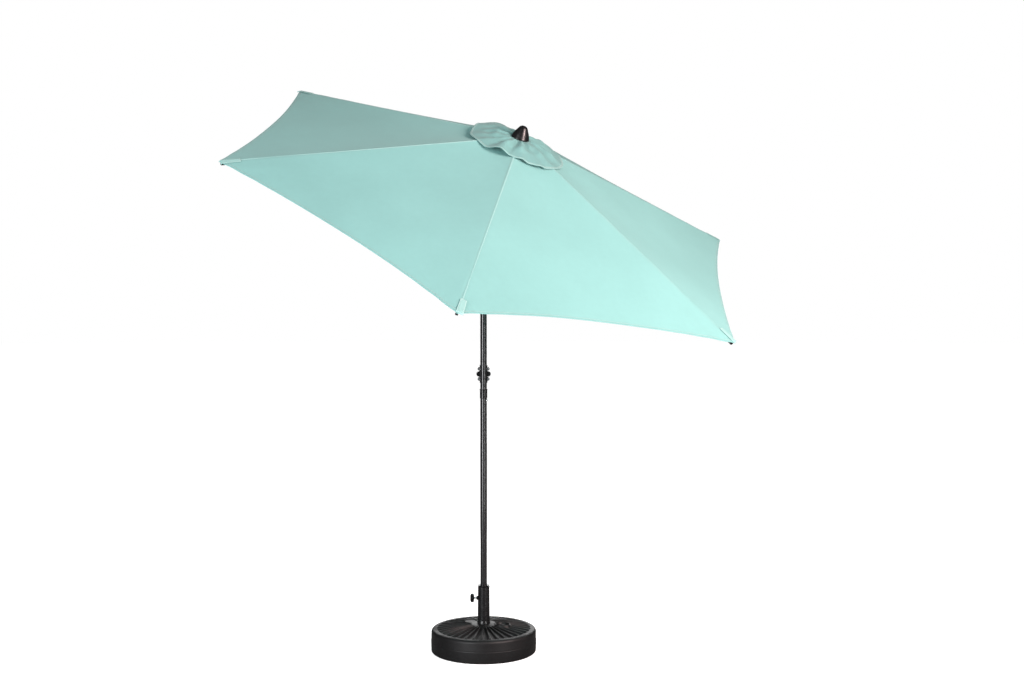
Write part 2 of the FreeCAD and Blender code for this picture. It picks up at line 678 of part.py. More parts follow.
def make_tilt_pin():
    """Headed pin through both cheeks."""
    reach = TILT_BODY_RADIUS - TILT_CHEEK_INSET
    end = reach + TILT_PIN_HEAD
    head_radius = TILT_PIN_RADIUS + TILT_PIN_HEAD_LIP
    pin = rod(TILT_PIN_RADIUS, Y * -reach, Y * reach)
    cap = rod(head_radius, Y * reach, Y * end)
    nut = rod(head_radius, Y * -end, Y * -reach)
    return raised(joined([pin, cap, nut]), TILT_HEIGHT)


def make_tilt_knuckle():
    """Upper half of the tilt joint: the tongue, and a socket for the top pole."""
    low = TILT_ROOT
    half = TILT_TONGUE_HALF
    neck_half = TILT_DISC_RADIUS - 3
    tongue = rod(TILT_DISC_RADIUS, point(0, -half, 0), point(0, half, 0))
    neck = box(-neck_half, neck_half, -half, half, 0, low + 1)
    socket = cylinder(TILT_BODY_RADIUS, low, low + KNUCKLE_LENGTH)
    knuckle = joined([tongue, neck, socket])
    knuckle = knuckle.cut([
        cylinder(MAST_RADIUS, low + KNUCKLE_FLOOR, low + KNUCKLE_LENGTH + 1),
        rod(TILT_PIN_RADIUS + PIN_CLEARANCE, Y * -TILT_BODY_RADIUS, Y * TILT_BODY_RADIUS),
    ])
    return head(knuckle)


# ---------------------------------------------------------------- top pole and hub
def make_top_pole():
    pole = tube(MAST_RADIUS, MAST_BORE, TILT_ROOT + KNUCKLE_FLOOR, HUB_HEIGHT - HUB_CAP)
    return head(pole.cut(raised(rod(PIN_RADIUS, Y * -MAST_RADIUS, Y * MAST_RADIUS), PULLEY_HEIGHT)))


def make_pulley_pin():
    return head(raised(rod(PIN_RADIUS, Y * -MAST_RADIUS, Y * MAST_RADIUS), PULLEY_HEIGHT))


def make_lift_pulley():
    """Grooved wheel that turns the lift cord over inside the top pole."""
    bore = PIN_RADIUS + PIN_CLEARANCE
    outline = [(bore, -3), (PULLEY_RADIUS, -3), (PULLEY_RADIUS - 2.5, -1), (PULLEY_RADIUS - 2.5, 1)]
    outline += [(PULLEY_RADIUS, 3), (bore, 3)]
    wheel = placed(turned(outline), FreeCAD.Placement(point(0, 0, PULLEY_HEIGHT), FreeCAD.Rotation(X, 90)))
    return head(wheel)


def radial_slots(inner, outer, low, high):
    """One slot cutter at each rib."""
    slots = []
    for azimuth in RIB_AZIMUTHS:
        slots.append(turned_about_z(box(inner, outer, -SLOT_HALF, SLOT_HALF, low, high), azimuth))
    return slots


def radial_pins(level, half):
    """One short pin across each rib's slot or lug."""
    pins = []
    for azimuth in RIB_AZIMUTHS:
        pin = rod(PIN_RADIUS, point(RIB_PIVOT_RADIUS, -half, level), point(RIB_PIVOT_RADIUS, half, level))
        pins.append(turned_about_z(pin, azimuth))
    return pins


def make_top_hub():
    """Slotted crown that the ribs hang from."""
    low = HUB_HEIGHT - HUB_BELOW
    top = HUB_HEIGHT + HUB_ABOVE
    crown = cylinder(HUB_RADIUS, low, top)
    skirt = cylinder(MAST_RADIUS + HUB_SKIRT_WALL, low - HUB_SKIRT, low)
    socket = cylinder(MAST_RADIUS, low - HUB_SKIRT - 1, HUB_HEIGHT - HUB_CAP)
    stud = cylinder(FINIAL_STUD_RADIUS, HUB_HEIGHT - HUB_CAP - 1, top + 1)
    hub = joined([crown, skirt])
    cutters = radial_slots(RIB_PIVOT_RADIUS - RIB_ROOM, HUB_RADIUS + 1, low - 1, top + 1)
    return head(hub.cut([socket, stud] + cutters + hub_pin_rods()))


def hub_pin_rods():
    return radial_pins(HUB_HEIGHT, SLOT_HALF + 5)


def make_hub_pins():
    return head(Part.makeCompound(hub_pin_rods()))


def flap_height(radius):
    """Height of the vent flap's underside at a radius, in the head frame."""
    return CANOPY_APEX + FLAP_LIFT - radius * math.tan(SLOPE)


def make_finial():
    """Flared, round-nosed cap that clamps the cloth to the hub with its own stud."""
    seat = CANOPY_THICKNESS / math.cos(SLOPE) + 0.2
    rim_low = flap_height(FINIAL_RADIUS) + seat
    crown_low = flap_height(FINIAL_STUD_RADIUS) + seat
    top = rim_low + FINIAL_HEIGHT
    nose = FINIAL_NOSE_RADIUS
    stud = FINIAL_STUD_RADIUS
    brim = point(FINIAL_RADIUS, 0, rim_low + 1.5)
    waist = point(FINIAL_WAIST_RADIUS, 0, rim_low + FINIAL_WAIST_HEIGHT)
    neck = point(nose, 0, top - nose)
    slant = nose * math.sqrt(0.5)
    nose_mid = point(slant, 0, top - nose + slant)
    stud_low = HUB_HEIGHT - 1
    edges = [
        Part.LineSegment(point(0, 0, stud_low), point(stud, 0, stud_low)).toShape(),
        Part.LineSegment(point(stud, 0, stud_low), point(stud, 0, crown_low)).toShape(),
        Part.LineSegment(point(stud, 0, crown_low), point(FINIAL_RADIUS, 0, rim_low)).toShape(),
        Part.LineSegment(point(FINIAL_RADIUS, 0, rim_low), brim).toShape(),
        Part.Arc(brim, waist, neck).toShape(),
        Part.Arc(neck, nose_mid, point(0, 0, top)).toShape(),
        Part.LineSegment(point(0, 0, top), point(0, 0, stud_low)).toShape(),
    ]
    return head(spun(edges))


# ---------------------------------------------------------------- cloth
def panel(azimuth):
    """One flat canopy panel between two ribs, with a hem drawn in between them."""
    slope = math.tan(SLOPE)
    step = 360.0 / RIB_COUNT

    def on_rib(radius, angle):
        turn = math.radians(angle)
        return point(radius * math.cos(turn), radius * math.sin(turn), CANOPY_APEX - radius * slope)

    start = on_rib(CANOPY_RADIUS, azimuth)
    end = on_rib(CANOPY_RADIUS, azimuth + step)
    inner_start = on_rib(VENT_RADIUS, azimuth)
    inner_end = on_rib(VENT_RADIUS, azimuth + step)
    middle = (start + end) * 0.5
    apex = point(0, 0, CANOPY_APEX)
    inward = apex - middle
    inward.normalize()
    hem = Part.Arc(start, middle + inward * HEM_SAG, end).toShape()
    face = Part.Face(Part.Wire([
        Part.LineSegment(inner_start, start).toShape(),
        hem,
        Part.LineSegment(end, inner_end).toShape(),
        Part.LineSegment(inner_end, inner_start).toShape(),
    ]))
    return face.extrude(Z * CANOPY_THICKNESS)


def make_canopy():
    panels = [panel(azimuth) for azimuth in RIB_AZIMUTHS]
    return head(panels[0].fuse(panels[1:]))


def make_vent_flap():
    """Round flap over the canopy's vent, held by the finial."""
    hole = FLAP_HOLE_RADIUS
    lift = CANOPY_THICKNESS / math.cos(SLOPE)
    return head(turned([
        (hole, flap_height(hole)),
        (FLAP_RADIUS, flap_height(FLAP_RADIUS)),
        (FLAP_RADIUS, flap_height(FLAP_RADIUS) + lift),
        (hole, flap_height(hole) + lift),
    ]))


# ---------------------------------------------------------------- ribs, struts and runner
def rib_frame(azimuth):
    """From a rib's own frame (pivot at the origin, X along the rib) to the head frame."""
    turn = FreeCAD.Rotation(Z, azimuth)
    lean = FreeCAD.Rotation(Y, RIB_SLOPE)
    pivot = turn.multVec(point(RIB_PIVOT_RADIUS, 0, 0)) + point(0, 0, HUB_HEIGHT)
    return FreeCAD.Placement(pivot, turn.multiply(lean))


def strut_frame(azimuth):
    """From a strut's own frame (runner pivot at the origin, X along the strut) to the head frame."""
    turn = FreeCAD.Rotation(Z, azimuth)
    lean = FreeCAD.Rotation(Y, -RIB_SLOPE)
    pivot = turn.multVec(point(RIB_PIVOT_RADIUS, 0, 0)) + point(0, 0, RUNNER_HEIGHT)
    return FreeCAD.Placement(pivot, turn.multiply(lean))


def rounded_bar(x0, x1, half_width, half_height, corner):
    """A rectangular bar along X with its long edges rounded."""
    bar = box(x0, x1, -half_width, half_width, -half_height, half_height)
    long_edges = [edge for edge in bar.Edges if abs(edge.Length - (x1 - x0)) < 1e-6]
    return bar.makeFillet(corner, long_edges)


def cross_hole(x, radius):
    return rod(radius, point(x, -30, 0), point(x, 30, 0))


def make_rib(azimuth):
    end = RIB_LENGTH - RIB_TIP_LENGTH
    half_width = RIB_WIDTH / 2
    half_height = RIB_HEIGHT / 2
    outer = rounded_bar(-half_height, end, half_width, half_height, RIB_CORNER)
    inner_corner = RIB_CORNER - RIB_WALL
    inner = rounded_bar(-half_height - 1, end + 1, half_width - RIB_WALL, half_height - RIB_WALL, inner_corner)
    hole = PIN_RADIUS + PIN_CLEARANCE
    rib = outer.cut([inner, cross_hole(0, hole), cross_hole(STRUT_LENGTH, hole)])
    return head(placed(rib, rib_frame(azimuth)))


def make_rib_tip(azimuth):
    """Plastic plug with a round nose, which sits in the canopy's corner pocket."""
    start = RIB_LENGTH - RIB_TIP_LENGTH
    nose = rounded_bar(start, RIB_LENGTH, RIB_WIDTH / 2, RIB_HEIGHT / 2, RIB_CORNER)
    nose = nose.makeFillet(4.0, [e for e in nose.Edges if e.CenterOfMass.x > RIB_LENGTH - 0.01])
    wide = RIB_WIDTH / 2 - RIB_WALL - 1
    tall = RIB_HEIGHT / 2 - RIB_WALL - 1
    plug = box(start - RIB_TIP_PLUG, start + 1, -wide, wide, -tall, tall)
    return head(placed(nose.fuse(plug).removeSplitter(), rib_frame(azimuth)))


def make_strut(azimuth):
    """Pressed channel: two cheeks that straddle the rib and the runner's lug, and a back."""
    half = STRUT_HEIGHT / 2
    inner = RIB_WIDTH / 2 + SIDE_CLEARANCE
    outer = inner + STRUT_PLATE
    shapes = []
    for side in (-1, 1):
        y0 = min(side * inner, side * outer)
        y1 = max(side * inner, side * outer)
        shapes.append(box(0, STRUT_LENGTH, y0, y1, -half, half))
        shapes.append(rod(half, point(0, y0, 0), point(0, y1, 0)))
        shapes.append(rod(half, point(STRUT_LENGTH, y0, 0), point(STRUT_LENGTH, y1, 0)))
    back_end = STRUT_LENGTH - STRUT_BACK_END
    shapes.append(box(STRUT_BACK_START, back_end, -outer, outer, half - STRUT_PLATE, half))
    strut = joined(shapes)
    strut = strut.cut([cross_hole(0, PIN_RADIUS + OPEN_PIVOT_CLEARANCE), cross_hole(STRUT_LENGTH, PIN_RADIUS)])
    return head(placed(strut, strut_frame(azimuth)))


def make_strut_pin(azimuth):
    """Rivet through the strut's cheeks and the rib."""
    reach = RIB_WIDTH / 2 + SIDE_CLEARANCE + STRUT_PLATE
    pin = rod(PIN_RADIUS, point(STRUT_LENGTH, -reach, 0), point(STRUT_LENGTH, reach, 0))
    caps = []
    for side in (-1, 1):
        near = point(STRUT_LENGTH, side * reach, 0)
        far = point(STRUT_LENGTH, side * (reach + RIVET_HEAD), 0)
        caps.append(rod(PIN_RADIUS + RIVET_HEAD_LIP, near, far))
    return head(placed(joined([pin] + caps), strut_frame(azimuth)))


def make_runner():
    """Slide on the top pole with one lug for each strut."""
    bore = MAST_RADIUS + LOOSE
    outer = bore + RUNNER_WALL
    low = RUNNER_HEIGHT - RUNNER_BELOW
    body = turned([
        (bore, low),
        (outer + RUNNER_FLANGE, low),
        (outer + RUNNER_FLANGE, low + 4),
        (outer, low + 6),
        (outer, RUNNER_HEIGHT + RUNNER_ABOVE),
        (bore, RUNNER_HEIGHT + RUNNER_ABOVE),
    ])
    lugs = []
    half = RIB_WIDTH / 2
    lug = RUNNER_LUG_RADIUS
    for azimuth in RIB_AZIMUTHS:
        pivot = point(RIB_PIVOT_RADIUS, 0, RUNNER_HEIGHT)
        nose = rod(lug, pivot - Y * half, pivot + Y * half)
        web = box(outer - 1.5, RIB_PIVOT_RADIUS, -half, half, RUNNER_HEIGHT - lug, RUNNER_HEIGHT + lug)
        lugs.append(turned_about_z(nose.fuse(web), azimuth))
    bore_tool = cylinder(bore, low - 1, RUNNER_HEIGHT + RUNNER_ABOVE + 1)
    runner = joined([body] + lugs).cut([bore_tool] + radial_pins(RUNNER_HEIGHT, RIB_WIDTH))
    return head(runner)


def make_runner_pins():
    return head(Part.makeCompound(radial_pins(RUNNER_HEIGHT, RIB_WIDTH / 2 + SIDE_CLEARANCE + STRUT_PLATE + 1)))


# ---------------------------------------------------------------- build
def build():
    os.makedirs("parts", exist_ok=True)
    save("base_shell", make_base_shell())
    save("filler_cap", make_filler_cap())
    save("sleeve", make_sleeve())
    save("sleeve_collar", make_sleeve_collar())
    save("mast_cup", make_mast_cup())
    save("clamp_stud", make_clamp_stud())
    save("clamp_knob", make_clamp_knob())
    save("lower_pole", make_lower_pole())
    save("pole_foot", make_pole_foot())
    save("joint_collar", make_joint_collar())
    save("upper_pole", make_upper_pole())
    save("snap_button", make_snap_button())
    save("snap_spring", make_snap_spring())
    save("crank_housing", make_crank_housing())
    save("crank_cover", make_crank_cover())
    save("case_screws", make_case_screws())
    save("crank_spindle", make_crank_spindle())
    save("crank_arm", make_crank_arm())
    save("crank_grip", make_crank_grip())
    save("tilt_yoke", make_tilt_yoke())
    save("tilt_button", make_tilt_button())
    save("tilt_spring", make_tilt_spring())
    save("tilt_pin", make_tilt_pin())
    save("tilt_knuckle", make_tilt_knuckle())
    save("top_pole", make_top_pole())
    save("pulley_pin", make_pulley_pin())
    save("lift_pulley", make_lift_pulley())
    save("top_hub", make_top_hub())
    save("hub_pins", make_hub_pins())
    save("finial", make_finial())
    save("canopy", make_canopy())
    save("vent_flap", make_vent_flap())
    save("runner", make_runner())
    save("runner_pins", make_runner_pins())
    for number, azimuth in enumerate(RIB_AZIMUTHS, start=1):
        save("rib_%d" % number, make_rib(azimuth))
        save("rib_tip_%d" % number, make_rib_tip(azimuth))
        save("strut_%d" % number, make_strut(azimuth))
        save("strut_pin_%d" % number, make_strut_pin(azimuth))


build()
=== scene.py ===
"""Patio umbrella with base: cloth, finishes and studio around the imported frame."""

import json
import math

import bmesh
import bpy
from bpy.props import FloatProperty, FloatVectorProperty, IntProperty, PointerProperty
from mathutils import Matrix, Vector, noise


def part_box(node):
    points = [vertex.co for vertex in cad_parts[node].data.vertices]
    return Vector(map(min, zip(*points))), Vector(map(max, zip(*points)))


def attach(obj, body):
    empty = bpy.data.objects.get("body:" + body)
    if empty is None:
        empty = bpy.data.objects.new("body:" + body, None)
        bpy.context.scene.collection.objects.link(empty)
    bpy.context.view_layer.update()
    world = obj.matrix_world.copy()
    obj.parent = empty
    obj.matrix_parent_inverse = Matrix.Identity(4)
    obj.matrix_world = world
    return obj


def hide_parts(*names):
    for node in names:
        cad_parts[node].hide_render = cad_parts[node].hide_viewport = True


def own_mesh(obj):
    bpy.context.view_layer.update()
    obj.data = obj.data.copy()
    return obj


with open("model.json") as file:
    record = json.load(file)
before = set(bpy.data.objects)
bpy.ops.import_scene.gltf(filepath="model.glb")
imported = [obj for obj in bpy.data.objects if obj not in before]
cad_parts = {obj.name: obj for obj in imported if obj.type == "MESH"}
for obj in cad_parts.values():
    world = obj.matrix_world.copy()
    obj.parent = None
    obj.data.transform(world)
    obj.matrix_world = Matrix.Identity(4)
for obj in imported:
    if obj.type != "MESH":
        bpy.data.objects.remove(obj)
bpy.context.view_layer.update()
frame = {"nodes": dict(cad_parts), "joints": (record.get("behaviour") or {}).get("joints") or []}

bl_info = {
    "name": "Patio Umbrella Maker",
    "version": (1, 0, 0),
    "blender": (4, 5, 0),
    "location": "3D View > Sidebar > Umbrella",
    "description": "Makes the cloth, the moulded base, the fittings and the finishes of a patio umbrella",
    "category": "Add Mesh",
}


# ---------------------------------------------------------------- what the frame says
def joint_named(name):
    """The frame's joint of that name."""
    return next(j for j in frame["joints"] if j["name"] == name)


TILT = joint_named("canopy_tilt")
TILT_PIVOT = Vector(TILT["pos_m"])
HEAD = Matrix.Translation(TILT_PIVOT) @ Matrix.Rotation(math.radians(TILT["range_deg"][1]), 4, "Y")
HEAD_INVERSE = HEAD.inverted()


def head_points(node):
    """A node's corners in the head's own upright frame."""
    return [HEAD_INVERSE @ v.co for v in frame["nodes"][node].data.vertices]


def reach(p):
    """Distance from the head's axis."""
    return math.hypot(p.x, p.y)


def node_middle(node):
    """The middle of a node's box."""
    low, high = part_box(node)
    return (low + high) / 2


class Rib:
    """One rib's body, fold joint and direction about the head's axis."""

    def __init__(self, number):
        self.number = number
        self.body = "rib_%d" % number
        name = "canopy_fold" if number == 1 else "rib_%d_fold" % number
        fold = joint_named(name)
        self.hinge = Vector(fold["pos_m"])
        self.axis = Vector(fold["axis"])
        pivot = HEAD_INVERSE @ self.hinge
        self.azimuth = math.atan2(pivot.y, pivot.x)


RIBS = [Rib(n) for n in range(1, 7)]
HALF_STEP = math.pi / len(RIBS)
FIRST_EDGE = RIBS[0].azimuth - HALF_STEP
CANOPY = head_points("canopy")
CANOPY_RADIUS = max(reach(p) for p in CANOPY)
VENT_RADIUS = min(reach(p) for p in CANOPY)
TIP_TOP = max(p.z for p in CANOPY if reach(p) > CANOPY_RADIUS - 0.002)
VENT_TOP = max(p.z for p in CANOPY)
CANOPY_SLOPE = (VENT_TOP - TIP_TOP) / (CANOPY_RADIUS - VENT_RADIUS)
APEX = VENT_TOP + CANOPY_SLOPE * VENT_RADIUS
FLAP_RADIUS = max(reach(p) for p in head_points("vent_flap"))
BASE_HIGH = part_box("base_shell")[1]
BASE_RADIUS = BASE_HIGH.x
BASE_TOP = BASE_HIGH.z
FILLER_MIDDLE = node_middle("filler_cap")
BASE_POINTS = [v.co for v in frame["nodes"]["base_shell"].data.vertices]


def rib_at(p):
    """Number of the rib whose share of the canopy holds a point of the head frame."""
    turn = (math.atan2(p.y, p.x) - FIRST_EDGE) % (2 * math.pi)
    return int(turn / (2 * HALF_STEP)) % len(RIBS) + 1


# ---------------------------------------------------------------- sizes and colours
class CanopySizes(bpy.types.PropertyGroup):
    """Cloth sizes and colour."""

    colour: FloatVectorProperty(
        name="Cloth colour", description="Linear colour of the canopy's cloth",
        subtype="COLOR", size=3, min=0, max=1, default=(0.212, 0.455, 0.435))
    thickness: FloatProperty(
        name="Cloth thickness", description="Thickness of the single cloth",
        default=0.0009, unit="LENGTH")
    hem_width: FloatProperty(
        name="Hem width", description="Width of the folded and sewn edge",
        default=0.018, unit="LENGTH")
    hem_sag: FloatProperty(
        name="Hem sag", description="How far each side is drawn in between two tips",
        default=0.045, unit="LENGTH")
    panel_dip: FloatProperty(
        name="Panel dip", description="How far the cloth dips between two ribs",
        default=0.016, unit="LENGTH")
    seam_width: FloatProperty(
        name="Seam width", description="Width of the felled seam over each rib",
        default=0.010, unit="LENGTH")
    across: IntProperty(
        name="Lines across", description="Grid lines across one sector of cloth", default=48)
    along: IntProperty(
        name="Lines along", description="Grid lines from the vent to the hem", default=44)
    folded_share: FloatProperty(
        name="Folded width", description="Share of its width that a sector keeps when furled",
        default=0.115)


class FlapSizes(bpy.types.PropertyGroup):
    """Vent flap sizes, and the painted shade of its cloth."""

    fullness: FloatProperty(
        name="Fullness", description="How much larger the flap is cut than a flat disc of its reach",
        default=0.06)
    fold_height: FloatProperty(
        name="Fold height", description="Height of the soft folds half-way to the edge",
        default=0.0095, unit="LENGTH")
    gather_height: FloatProperty(
        name="Gather height", description="Height of the tight gathers round the finial",
        default=0.0022, unit="LENGTH")
    rings: IntProperty(
        name="Rings", description="Rings of cloth from the finial to the edge", default=34)
    spokes: IntProperty(
        name="Spokes", description="Lines of cloth round the flap, a multiple of the ribs", default=240)
    # Painted shade: the flap's cloth is the canopy's colour times this share, darker because the canopy
    # below holds back light that would shine through.
    shade: FloatProperty(
        name="Shade", description="Brightness of the flap beside the backlit canopy", default=0.80)


class BaseSizes(bpy.types.PropertyGroup):
    """Moulded base sizes and colour."""

    colour: FloatVectorProperty(
        name="Base colour", description="Linear colour of the moulded base",
        subtype="COLOR", size=3, min=0, max=1, default=(0.0026, 0.0026, 0.0029))
    groove_count: IntProperty(
        name="Grooves", description="Radial channels round the top", default=36)
    groove_depth: FloatProperty(
        name="Groove depth", description="Depth of each channel",
        default=0.0062, unit="LENGTH")


class PaintColours(bpy.types.PropertyGroup):
    """Colours of the painted and moulded fittings."""

    mast: FloatVectorProperty(
        name="Mast colour", description="Linear colour of the mast's powder coat",
        subtype="COLOR", size=3, min=0, max=1, default=(0.006, 0.006, 0.0066))
    trim: FloatVectorProperty(
        name="Trim colour", description="Linear colour of moulded trim",
        subtype="COLOR", size=3, min=0, max=1, default=(0.004, 0.004, 0.0044))


# ---------------------------------------------------------------- shader writing
class Wire:
    """A shader socket. Arithmetic on it adds Math nodes."""

    def __init__(self, tree, socket):
        self.tree = tree
        self.socket = socket

    def math(self, operation, first, second=None):
        node = self.tree.nodes.new("ShaderNodeMath")
        node.operation = operation
        for slot, value in zip(node.inputs, (first, second)):
            if isinstance(value, Wire):
                self.tree.links.new(value.socket, slot)
            elif value is not None:
                slot.default_value = value
        return Wire(self.tree, node.outputs[0])

    def __add__(self, other):
        return self.math("ADD", self, other)

    def __mul__(self, other):
        return self.math("MULTIPLY", self, other)

    def __sub__(self, other):
        return self.math("SUBTRACT", self, other)

    def __rsub__(self, other):
        return self.math("SUBTRACT", other, self)

    def __lt__(self, other):
        return self.math("LESS_THAN", self, other)

    def sine(self):
        return self.math("SINE", self)

    def fraction(self):
        return self.math("FRACT", self)

    def size(self):
        return self.math("ABSOLUTE", self)


class Finish:
    """One material being written: a Principled shader and the nodes that feed it."""

    def __init__(self, name):
        self.material = bpy.data.materials.new(name)
        self.material.use_nodes = True
        self.tree = self.material.node_tree
        self.tree.nodes.clear()
        self.output = self.tree.nodes.new("ShaderNodeOutputMaterial")
        self.shader = self.tree.nodes.new("ShaderNodeBsdfPrincipled")
        self.tree.links.new(self.shader.outputs[0], self.output.inputs[0])

    def put(self, slot, value):
        """Links a wire to a socket, or sets the socket's own value."""
        if isinstance(value, Wire):
            self.tree.links.new(value.socket, slot)
        else:
            slot.default_value = value

    def node(self, kind, settings=None, values=None, out=0):
        """Adds a node: its settings first, then its sockets' values or links."""
        made = self.tree.nodes.new(kind)
        for key, value in (settings or {}).items():
            setattr(made, key, value)
        for key, value in (values or {}).items():
            self.put(made.inputs[key], value)
        return Wire(self.tree, made.outputs[out])

    def place(self):
        """Object coordinates, in metres."""
        return self.node("ShaderNodeTexCoord", out="Object")

    def uv(self):
        return self.node("ShaderNodeTexCoord", out="UV")

    def parts(self, vector):
        """The x and y of a vector."""
        split = self.tree.nodes.new("ShaderNodeSeparateXYZ")
        self.put(split.inputs[0], vector)
        return Wire(self.tree, split.outputs[0]), Wire(self.tree, split.outputs[1])

    def stretched(self, vector, scale):
        """A vector scaled along each axis."""
        return self.node("ShaderNodeMapping", {}, {"Vector": vector, "Scale": scale})

    def attribute(self, name):
        return self.node("ShaderNodeAttribute", {"attribute_name": name}, out="Fac")

    def noise(self, vector, scale, detail=3.0, roughness=0.5):
        values = {"Vector": vector, "Scale": scale, "Detail": detail, "Roughness": roughness}
        return self.node("ShaderNodeTexNoise", {}, values)

    def cells(self, vector, scale):
        return self.node("ShaderNodeTexVoronoi", {}, {"Vector": vector, "Scale": scale})

    def spread(self, wire, low, high, to_low, to_high):
        """Maps one range of numbers to another, and keeps to it."""
        values = {"Value": wire, "From Min": low, "From Max": high, "To Min": to_low, "To Max": to_high}
        return self.node("ShaderNodeMapRange", {"clamp": True}, values)

    def blend(self, share, first, second):
        """A colour between two colours."""
        made = self.tree.nodes.new("ShaderNodeMix")
        made.data_type = "RGBA"
        self.put(made.inputs[0], share)
        self.put(made.inputs[6], first)
        self.put(made.inputs[7], second)
        return Wire(self.tree, made.outputs[2])

    def bump(self, height, distance, strength=1.0, under=None):
        values = {"Height": height, "Distance": distance, "Strength": strength}
        if under is not None:
            values["Normal"] = under
        return self.node("ShaderNodeBump", {}, values)

    def finish(self, **sockets):
        for key, value in sockets.items():
            self.put(self.shader.inputs[key.replace("_", " ")], value)
        return self.material


def rgba(colour, share=1.0):
    return (colour[0] * share, colour[1] * share, colour[2] * share, 1.0)


THREAD_PITCH = 0.0011
STITCHES_PER_METRE = 240.0
STITCHED_SHARE = 0.62
THREAD_COLOUR = (0.62, 0.80, 0.76)
# Colour of the painted highlight on the tip pockets and the flap's turned edges.
PAINTED_HIGHLIGHT_COLOUR = (0.62, 0.80, 0.74)
GLOW_SHARE = 0.18


def cloth_finish(name, cloth):
    """Woven polyester: crossed threads, slubs, soft fading, and stitching beside seams and hems.

    A per-corner attribute paints light and shade: above zero, painted shade on cloth that lies over more
    cloth and on one side of each seam; below zero, a painted highlight.
    """
    f = Finish(name)
    u, v = f.parts(f.uv())
    thread = 2 * math.pi / THREAD_PITCH
    weave = (u * thread).sine() * (v * thread).sine()
    slubs = f.noise(f.stretched(f.uv(), (60.0, 900.0, 1.0)), 1.0, 2.0)
    clouds = f.noise(f.place(), 2.3, 3.0)
    mottle = f.noise(f.place(), 38.0, 4.0)
    tone = f.spread(clouds + mottle * 0.35, 0.45, 0.95, 0.0, 1.0)
    colour = f.blend(tone, rgba(cloth, 0.94), rgba(cloth, 1.06))
    stitch = f.attribute("stitch")
    dash = (f.attribute("stitch_run") * STITCHES_PER_METRE).fraction() < STITCHED_SHARE
    row = (stitch.size() < 0.5) * dash
    colour = f.blend(row * 0.55, colour, rgba(THREAD_COLOUR))
    # Painted shade above zero and a painted highlight below zero, from the attribute that each cloth
    # piece sets.
    fold = f.attribute("painted_shading")
    colour = f.blend(f.spread(fold, 0.0, 2.0, 0.0, 0.5), colour, rgba(cloth, 0.62))
    colour = f.blend(f.spread(fold, 0.0, -1.0, 0.0, 0.14), colour, rgba(PAINTED_HIGHLIGHT_COLOUR))
    near = f.bump(weave, 0.00012, 0.35)
    rough = f.bump(slubs + mottle, 0.0004, 0.25, near)
    sewn = f.bump(row, 0.0005, 0.6, rough)
    material = f.finish(
        Base_Color=colour, Roughness=f.spread(mottle, 0.3, 0.7, 0.78, 0.9), Normal=sewn,
        Sheen_Weight=0.12, Sheen_Roughness=0.6, Specular_IOR_Level=0.12)
    glow = f.tree.nodes.new("ShaderNodeBsdfTranslucent")
    f.put(glow.inputs["Color"], rgba(cloth, 1.2))
    mix = f.tree.nodes.new("ShaderNodeMixShader")
    mix.inputs[0].default_value = GLOW_SHARE
    f.tree.links.new(f.shader.outputs[0], mix.inputs[1])
    f.tree.links.new(glow.outputs[0], mix.inputs[2])
    f.tree.links.new(mix.outputs[0], f.output.inputs[0])
    return material


def pebbled_finish(name, colour, roughness, pebble):
    """Moulded plastic with a fine pebbled skin, scuffs and dust in its duller patches."""
    f = Finish(name)
    place = f.place()
    grain = f.cells(place, pebble)
    fine = f.noise(place, pebble * 2.6, 2.0)
    dust = f.spread(f.noise(place, 9.0, 5.0, 0.62), 0.42, 0.72, 0.0, 1.0)
    scratches = f.noise(f.stretched(place, (7.0, 7.0, 90.0)), 1.0, 4.0)
    scuffs = f.spread(scratches, 0.60, 0.72, 0.0, 1.0)
    tint = f.blend(dust * 0.35, rgba(colour), rgba(colour, 2.0))
    tint = f.blend(scuffs * 0.25, tint, rgba(colour, 2.8))
    skin = f.bump(grain + fine * 0.6, 0.0005, 0.45)
    dullness = f.spread(dust + scuffs * 0.5, 0.0, 1.2, roughness - 0.05, roughness + 0.13)
    return f.finish(Base_Color=tint, Roughness=dullness, Normal=skin, Specular_IOR_Level=0.4)


def painted_finish(name, colour, roughness):
    """Powder coat on steel: orange peel, and a few rubbed streaks along the tube."""
    f = Finish(name)
    place = f.place()
    peel = f.noise(place, 420.0, 3.0)
    streaks = f.noise(f.stretched(place, (160.0, 160.0, 3.0)), 1.0, 3.0)
    worn = f.spread(streaks, 0.55, 0.75, 0.0, 1.0)
    tint = f.blend(worn * 0.4, rgba(colour), rgba(colour, 1.7))
    return f.finish(
        Base_Color=tint, Roughness=f.spread(streaks, 0.3, 0.7, roughness - 0.04, roughness + 0.09),
        Normal=f.bump(peel, 0.00002, 0.12), Metallic=0.0, Coat_Weight=0.5, Coat_Roughness=0.08)


def moulded_finish(name, colour, roughness):
    """Smooth moulded plastic with faint flow marks and fingerprints."""
    f = Finish(name)
    place = f.place()
    marks = f.noise(place, 55.0, 4.0, 0.6)
    grain = f.noise(place, 900.0, 2.0)
    tint = f.blend(f.spread(marks, 0.45, 0.75, 0.0, 0.6), rgba(colour), rgba(colour, 1.9))
    return f.finish(
        Base_Color=tint, Roughness=f.spread(marks, 0.3, 0.75, roughness - 0.05, roughness + 0.12),
        Normal=f.bump(grain, 0.00003, 0.1), Specular_IOR_Level=0.5)


def plated_finish(name, colour, roughness):
    """Bright metal with fine turning marks."""
    f = Finish(name)
    place = f.place()
    marks = f.noise(f.stretched(place, (900.0, 900.0, 60.0)), 1.0, 3.0)
    spots = f.noise(place, 140.0, 4.0)
    tint = f.blend(f.spread(spots, 0.5, 0.8, 0.0, 0.5), rgba(colour), rgba(colour, 0.6))
    return f.finish(
        Base_Color=tint, Roughness=f.spread(marks, 0.3, 0.7, roughness, roughness + 0.14),
        Normal=f.bump(marks, 0.00005, 0.3), Metallic=1.0)


